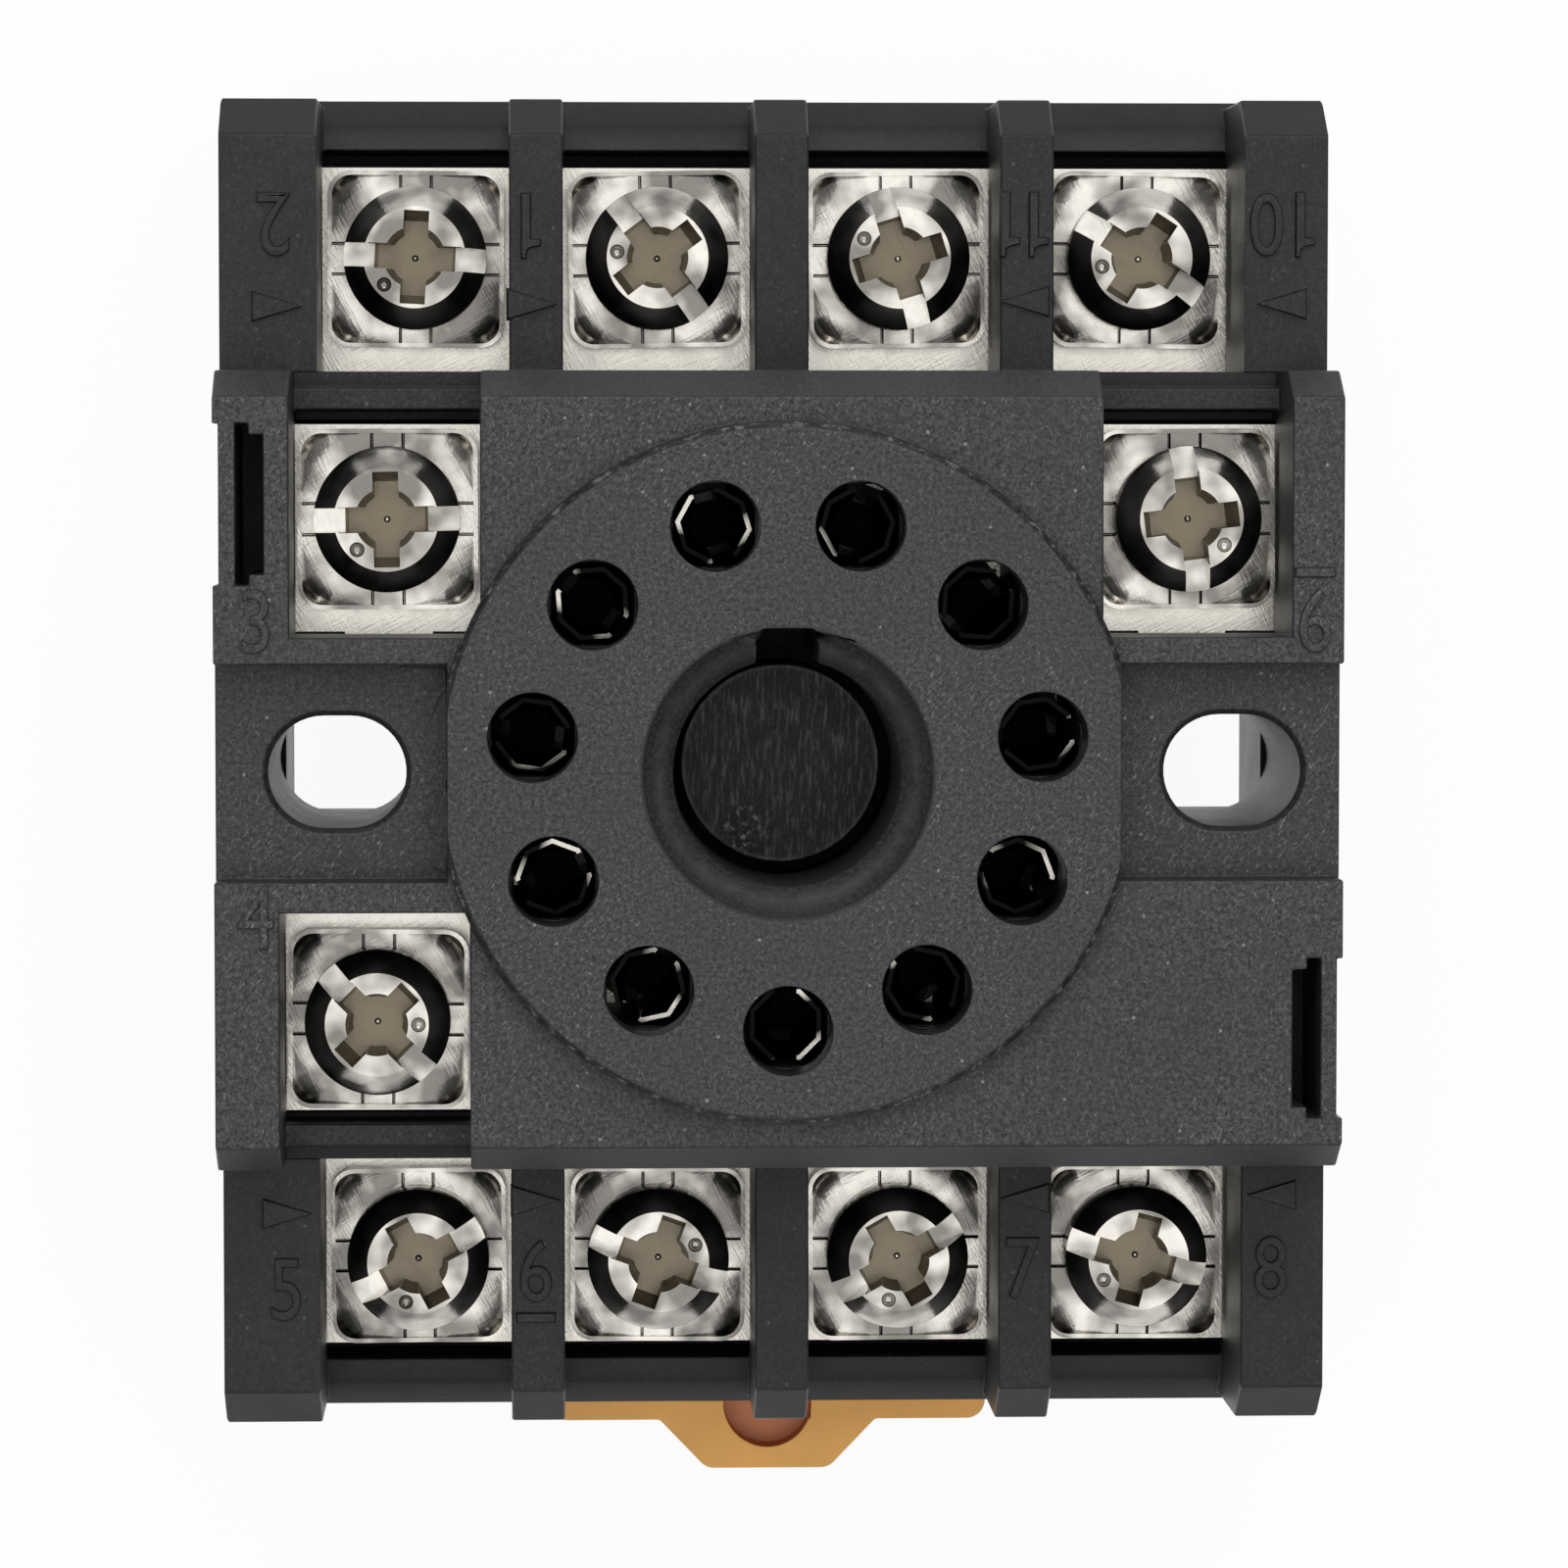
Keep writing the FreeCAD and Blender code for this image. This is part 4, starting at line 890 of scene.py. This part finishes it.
def paint_node(node, material):
    """Give a CAD node that stays its material."""
    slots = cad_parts[node].data.materials
    slots.clear()
    slots.append(material)


def grown(outline, reach):
    """The outline of a polygon moved outwards by a reach, with mitred corners."""
    points = [Vector(point) for point in outline]
    area = sum(a.cross(b) for a, b in zip(points, points[1:] + points[:1]))
    outwards = reach if area > 0 else -reach
    moved = []
    for index, point in enumerate(points):
        before = (point - points[index - 1]).normalized()
        after = (points[(index + 1) % len(points)] - point).normalized()
        normal = Vector((before.y + after.y, -before.x - after.x)).normalized()
        along = max(normal.dot((before.y, -before.x)), MITRE_LIMIT)
        moved.append(point + normal * outwards / along)
    return moved


def raised_prism(build, outline, low, high, slope=0.0):
    """Add an upright prism with a plan outline, whose foot is wider by the slope."""
    foot = grown(outline, slope) if slope else outline
    lower = [build.verts.new((x * MM, y * MM, low * MM)) for x, y in foot]
    upper = [build.verts.new((x * MM, y * MM, high * MM)) for x, y in outline]
    build.faces.new(list(reversed(lower)))
    build.faces.new(upper)
    count = len(outline)
    for index in range(count):
        following = (index + 1) % count
        build.faces.new((lower[index], lower[following], upper[following], upper[index]))


def digit_mesh(digit, height, relief):
    """One raised digit as a mesh, centred on the origin with its foot below height 0."""
    letters = bpy.data.curves.new("digit", "FONT")
    letters.body = digit
    letters.size = height
    letters.align_x = "CENTER"
    letters.align_y = "CENTER"
    letters.extrude = relief / 2
    letters.bevel_depth = MARK_SLOPE * MM
    letters.bevel_resolution = 1
    letters.offset = -MARK_SLOPE * MM * DIGIT_THINNING
    maker = new_object("digit", letters)
    depsgraph = bpy.context.evaluated_depsgraph_get()
    mesh = bpy.data.meshes.new_from_object(maker.evaluated_get(depsgraph))
    bpy.data.objects.remove(maker)
    xs = [vertex.co.x for vertex in mesh.vertices]
    ys = [vertex.co.y for vertex in mesh.vertices]
    zs = [vertex.co.z for vertex in mesh.vertices]
    stretch = height / (max(ys) - min(ys))
    centre = Vector(((min(xs) + max(xs)) / 2, (min(ys) + max(ys)) / 2, max(zs) - relief))
    mesh.transform(Matrix.Translation(-centre))
    mesh.transform(Matrix.Diagonal((stretch * DIGIT_NARROWING, stretch, 1.0, 1.0)))
    return mesh


def digit_one(build, x, y, top, height, relief, way):
    """The digit 1, as a stem with a flag that curves off."""
    half = height / 2
    stem = ONE_STEM_HALF
    outline = [(-stem, -half), (stem, -half), (stem, half), (ONE_SHOULDER, half), *ONE_FLAG]
    placed = [(x + way * across, y + way * along) for across, along in outline]
    raised_prism(build, placed, top - relief / 2, top + relief, MARK_SLOPE)


def digits(build, height, relief):
    for digit, x, y, top, turn, bar in DIGITS:
        x += AXIS_X
        y += AXIS_Y
        if digit == "1":
            digit_one(build, x, y, top, height / MM, relief / MM, -1 if turn else 1)
            continue
        mesh = digit_mesh(digit, height, relief)
        mesh.transform(Matrix.Rotation(math.radians(turn), 4, "Z"))
        mesh.transform(Matrix.Translation(Vector((x, y, top)) * MM))
        build.from_mesh(mesh)
        bpy.data.meshes.remove(mesh)
        if bar:
            raised_bar(build, x, y + bar, top, relief / MM)


def raised_bar(build, x, y, top, relief):
    left, right = x - BAR_HALF_LENGTH, x + BAR_HALF_LENGTH
    front, back = y - BAR_HALF_WIDTH, y + BAR_HALF_WIDTH
    corners = [(left, front), (right, front), (right, back), (left, back)]
    raised_prism(build, corners, top - relief / 2, top + relief, MARK_SLOPE)


def arrows(build, relief):
    for x, y, way in ARROWS:
        x += AXIS_X
        y += AXIS_Y
        tip = (x + way * ARROW_LENGTH / 2, y)
        tail = x - way * ARROW_LENGTH / 2
        half_width = way * ARROW_HALF_WIDTH
        ends = [(tail, y - half_width), tip, (tail, y + half_width)]
        raised_prism(build, ends, RIB_TOP - relief / 2, RIB_TOP + relief, MARK_SLOPE)


def flash_films(build):
    for outline in (UPPER_FLASH, LOWER_FLASH):
        moved = [(x + AXIS_X, y + AXIS_Y) for x, y in outline]
        raised_prism(build, moved, EAR_FLOOR - FLASH_THICKNESS / 2, EAR_FLOOR + FLASH_THICKNESS)


def finish_marks(build, name, material):
    bmesh.ops.remove_doubles(build, verts=build.verts, dist=MERGE_DISTANCE)
    bmesh.ops.recalc_face_normals(build, faces=build.faces)
    mesh = bpy.data.meshes.new(name)
    build.to_mesh(mesh)
    build.free()
    mesh.materials.append(material)
    mesh.set_sharp_from_angle(angle=SHARP_ANGLE)
    return new_object(name, mesh)


def at_terminals(tree, stem, body, turns, on_washer):
    """Make a tree's piece at each terminal, on its washer or in the washer's place."""
    for number, turn in zip(TERMINALS, turns):
        low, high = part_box(f"clamp_{number}")
        foot = high.z if on_washer else low.z
        place = ((low.x + high.x) / 2, (low.y + high.y) / 2, foot)
        values = {"Place": place, "Heading": math.radians(turn)}
        piece = shaped(tree, f"{stem}_{number}", values)
        dress(piece, f"{body}_{number}", body, f"{body}_{number}")


# Operators


class RELAYSOCKET_OT_mouldings(bpy.types.Operator):
    """Dress the two black mouldings with soft edges and the filled thermoset"""

    bl_idname = "relay_socket.mouldings"
    bl_label = "Mouldings"

    def execute(self, context):
        finish = context.scene.socket_finish
        for node, name, slot in MOULDINGS:
            piece = merged_copy(node, name)
            material = moulding_material(f"{name}_thermoset", finish.housing, finish.fleck)
            piece.data.materials.append(material)
            soften_edges(piece, finish.edge, split_ceilings=node == "housing")
            dress(piece, "socket", slot, node)
        return {"FINISHED"}


class RELAYSOCKET_OT_marks(bpy.types.Operator):
    """Raise the terminal numbers, the arrows and the moulding flash on the housing"""

    bl_idname = "relay_socket.marks"
    bl_label = "Raised marks"

    def execute(self, context):
        finish = context.scene.socket_finish
        material = moulding_material("marks_thermoset", finish.housing, finish.fleck)
        build = bmesh.new()
        digits(build, finish.numeral_size, finish.relief)
        arrows(build, finish.relief / MM)
        flash_films(build)
        dress(finish_marks(build, "raised_marks", material), "socket", "housing")
        return {"FINISHED"}


class RELAYSOCKET_OT_screws(bpy.types.Operator):
    """Make the eleven clamping screws, each at its own heading"""

    bl_idname = "relay_socket.screws"
    bl_label = "Clamping screws"

    def execute(self, context):
        finish = context.scene.socket_finish
        # The last value is how dark the painted reflection patches go.
        plating = plated_material("screw_plating", finish.plating, 0.16, 1.0, 0.3)
        # Painted shade: the cross recess takes a darker plating.
        cross = plated_material("cross_recess_shade", finish.cross, 0.34)
        low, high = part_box("screw_1")
        clamp_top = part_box("clamp_1")[1].z
        sizes = {
            "Head radius": (high.x - low.x) / 2,
            "Head height": high.z - clamp_top,
            "Shank length": clamp_top - low.z,
            "Thread radius": THREAD_RADIUS * MM,
            **labelled(context.scene.screw_sizes),
        }
        tree = screw_tree(sizes, plating, cross)
        at_terminals(tree, "clamping_screw", "screw", SCREW_HEADINGS, True)
        return {"FINISHED"}


class RELAYSOCKET_OT_washers(bpy.types.Operator):
    """Make the eleven square washers under the screws"""

    bl_idname = "relay_socket.washers"
    bl_label = "Washers"

    def execute(self, context):
        finish = context.scene.socket_finish
        # The last value is how dark the painted reflection patches go.
        plating = plated_material("washer_plating", finish.plating, 0.2, 1.4, 0.3)
        low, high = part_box("clamp_1")
        sizes = {
            "Side": high.x - low.x,
            "Thickness": high.z - low.z,
            "Hole radius": WASHER_HOLE_RADIUS * MM,
            **labelled(context.scene.washer_sizes),
        }
        tree = washer_tree(sizes, plating)
        at_terminals(tree, "square_washer", "clamp", WASHER_TURNS, False)
        return {"FINISHED"}


class RELAYSOCKET_OT_contacts(bpy.types.Operator):
    """Plate the contacts and finish the hidden spring and fixing screws"""

    bl_idname = "relay_socket.contacts"
    bl_label = "Contacts and hidden metal"

    def execute(self, context):
        finish = context.scene.socket_finish
        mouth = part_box("contact_1")[1].z
        tinned = contact_material("tinned_contact", finish.contact, mouth)
        for number in TERMINALS:
            paint_node(f"contact_{number}", tinned)
        paint_node("latch_spring", plated_material("spring_steel", (0.42, 0.42, 0.44), 0.22))
        zinc = plated_material("zinc_screw", (0.62, 0.63, 0.66), 0.3)
        for node in ("base_screw_1", "base_screw_2"):
            paint_node(node, zinc)
        return {"FINISHED"}


class RELAYSOCKET_OT_latch(bpy.types.Operator):
    """Dress the orange rail latch, with painted shade in its tool recess"""

    bl_idname = "relay_socket.latch"
    bl_label = "Rail latch"

    def execute(self, context):
        finish = context.scene.socket_finish
        piece = merged_copy("rail_latch", "orange_latch")
        piece.data.materials.append(latch_material("orange_nylon", finish.latch))
        piece.data.materials.append(latch_material("recess_shade_nylon", finish.recess))
        low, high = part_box("rail_latch")
        # Painted shade: the faces of the tool recess take the darker nylon.
        for face in piece.data.polygons:
            x, y, z = face.center
            beside = abs(x - AXIS_X * MM) < TOOL_RECESS_HALF * MM
            along = low.y + TOOL_RECESS_LIP * MM < y < low.y + TOOL_RECESS_REACH * MM
            deep = TOOL_RECESS_FLOOR * MM < z < high.z - TOOL_RECESS_BRIM * MM
            if beside and along and deep:
                face.material_index = 1
        soften_edges(piece, finish.edge)
        dress(piece, "latch", "latch", "rail_latch")
        return {"FINISHED"}


class RELAYSOCKET_OT_stage(bpy.types.Operator):
    """Set the floor, the lamps, the surrounding light and the camera"""

    bl_idname = "relay_socket.stage"
    bl_label = "Stage"

    def execute(self, context):
        settings = context.scene.stage_settings
        self.floor()
        self.lamp("overhead_softbox", OVERHEAD_PLACE, OVERHEAD_SIDE, settings.overhead)
        self.lamp("upper_side_lamp", SIDE_LAMP_PLACE, SIDE_LAMP_SIDE, settings.side)
        self.surroundings(context.scene, settings.ambient)
        self.camera(context.scene, settings)
        return {"FINISHED"}

    def floor(self):
        half = FLOOR_HALF
        corners = [(-half, -half), (half, -half), (half, half), (-half, half)]
        mesh = bpy.data.meshes.new("floor")
        mesh.from_pydata([(x, y, FLOOR_HEIGHT) for x, y in corners], [], [(0, 1, 2, 3)])
        mesh.materials.append(floor_material())
        floor = new_object("floor", mesh)

    def lamp(self, name, place, side, power):
        light = bpy.data.lights.new(name, "AREA")
        light.shape = "SQUARE"
        light.size = side
        light.energy = power
        lamp = new_object(name, light)
        lamp.location = place
        lamp.rotation_euler = (-Vector(place)).to_track_quat("-Z", "Y").to_euler()
        lamp.visible_camera = False

    def surroundings(self, scene, ambient):
        """Plain light for the surfaces, and white wherever the surroundings are seen."""
        world = bpy.data.worlds.new("surroundings")
        world.use_nodes = True
        world.node_tree.nodes.clear()
        nodes = NodeTree(world.node_tree)
        rays = nodes.add("ShaderNodeLightPath").outputs
        seen = nodes.maths("MAXIMUM", rays["Is Camera Ray"], rays["Is Transmission Ray"])
        strength = ramp(nodes, seen, 0.0, 1.0, ambient, 1.0)
        aim = nodes.add("ShaderNodeNewGeometry").outputs["Incoming"]
        height = nodes.maths("ABSOLUTE", nodes.add("ShaderNodeSeparateXYZ", {0: aim}).outputs[2])
        horizon = ramp(nodes, height, 0.15, 0.45, 0.9, 0.25)
        strength = nodes.plus(strength, nodes.times(rays["Is Glossy Ray"], horizon))
        inputs = {"Color": (1.0, 1.0, 1.0, 1.0), "Strength": strength}
        light = nodes.make("ShaderNodeBackground", inputs)
        nodes.add("ShaderNodeOutputWorld", {"Surface": light})
        scene.world = world

    def camera(self, scene, settings):
        """Look at the aim, with +Y up in the picture."""
        data = bpy.data.cameras.new("camera")
        data.lens = settings.lens
        data.sensor_width = 36.0
        data.clip_start = 0.01
        camera = new_object("camera", data)
        place = Vector(settings.camera)
        back = (place - Vector(settings.aim)).normalized()
        right = Vector((0.0, 1.0, 0.0)).cross(back).normalized()
        turn = Matrix((right, back.cross(right), back)).transposed()
        camera.matrix_world = Matrix.Translation(place) @ turn.to_4x4()
        scene.camera = camera
        scene.view_settings.view_transform = "Standard"


class RELAYSOCKET_PT_parts(bpy.types.Panel):
    """Makes each group of the socket's pieces"""

    bl_idname = "RELAYSOCKET_PT_parts"
    bl_label = "Relay socket"
    bl_space_type = "VIEW_3D"
    bl_region_type = "UI"
    bl_category = "Relay socket"

    def draw(self, context):
        for operator in OPERATORS:
            self.layout.operator(operator.bl_idname)
        for group in GROUPS:
            column = self.layout.column()
            settings = getattr(context.scene, group)
            for name in setting_names(settings):
                column.prop(settings, name)


OPERATORS = (
    RELAYSOCKET_OT_stage,
    RELAYSOCKET_OT_mouldings,
    RELAYSOCKET_OT_marks,
    RELAYSOCKET_OT_screws,
    RELAYSOCKET_OT_washers,
    RELAYSOCKET_OT_contacts,
    RELAYSOCKET_OT_latch,
)
GROUPS = {
    "socket_finish": SocketFinish,
    "screw_sizes": ScrewSizes,
    "washer_sizes": WasherSizes,
    "stage_settings": StageSettings,
}
CLASSES = (*GROUPS.values(), *OPERATORS, RELAYSOCKET_PT_parts)


def register():
    for item in CLASSES:
        bpy.utils.register_class(item)
    for name, group in GROUPS.items():
        setattr(bpy.types.Scene, name, bpy.props.PointerProperty(type=group))


def unregister():
    for name in GROUPS:
        delattr(bpy.types.Scene, name)
    for item in reversed(CLASSES):
        bpy.utils.unregister_class(item)


def main():
    """Make every piece in order."""
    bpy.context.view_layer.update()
    register()
    bpy.ops.relay_socket.stage()
    bpy.ops.relay_socket.mouldings()
    bpy.ops.relay_socket.marks()
    bpy.ops.relay_socket.screws()
    bpy.ops.relay_socket.washers()
    bpy.ops.relay_socket.contacts()
    bpy.ops.relay_socket.latch()


if __name__ == "__main__":
    main()
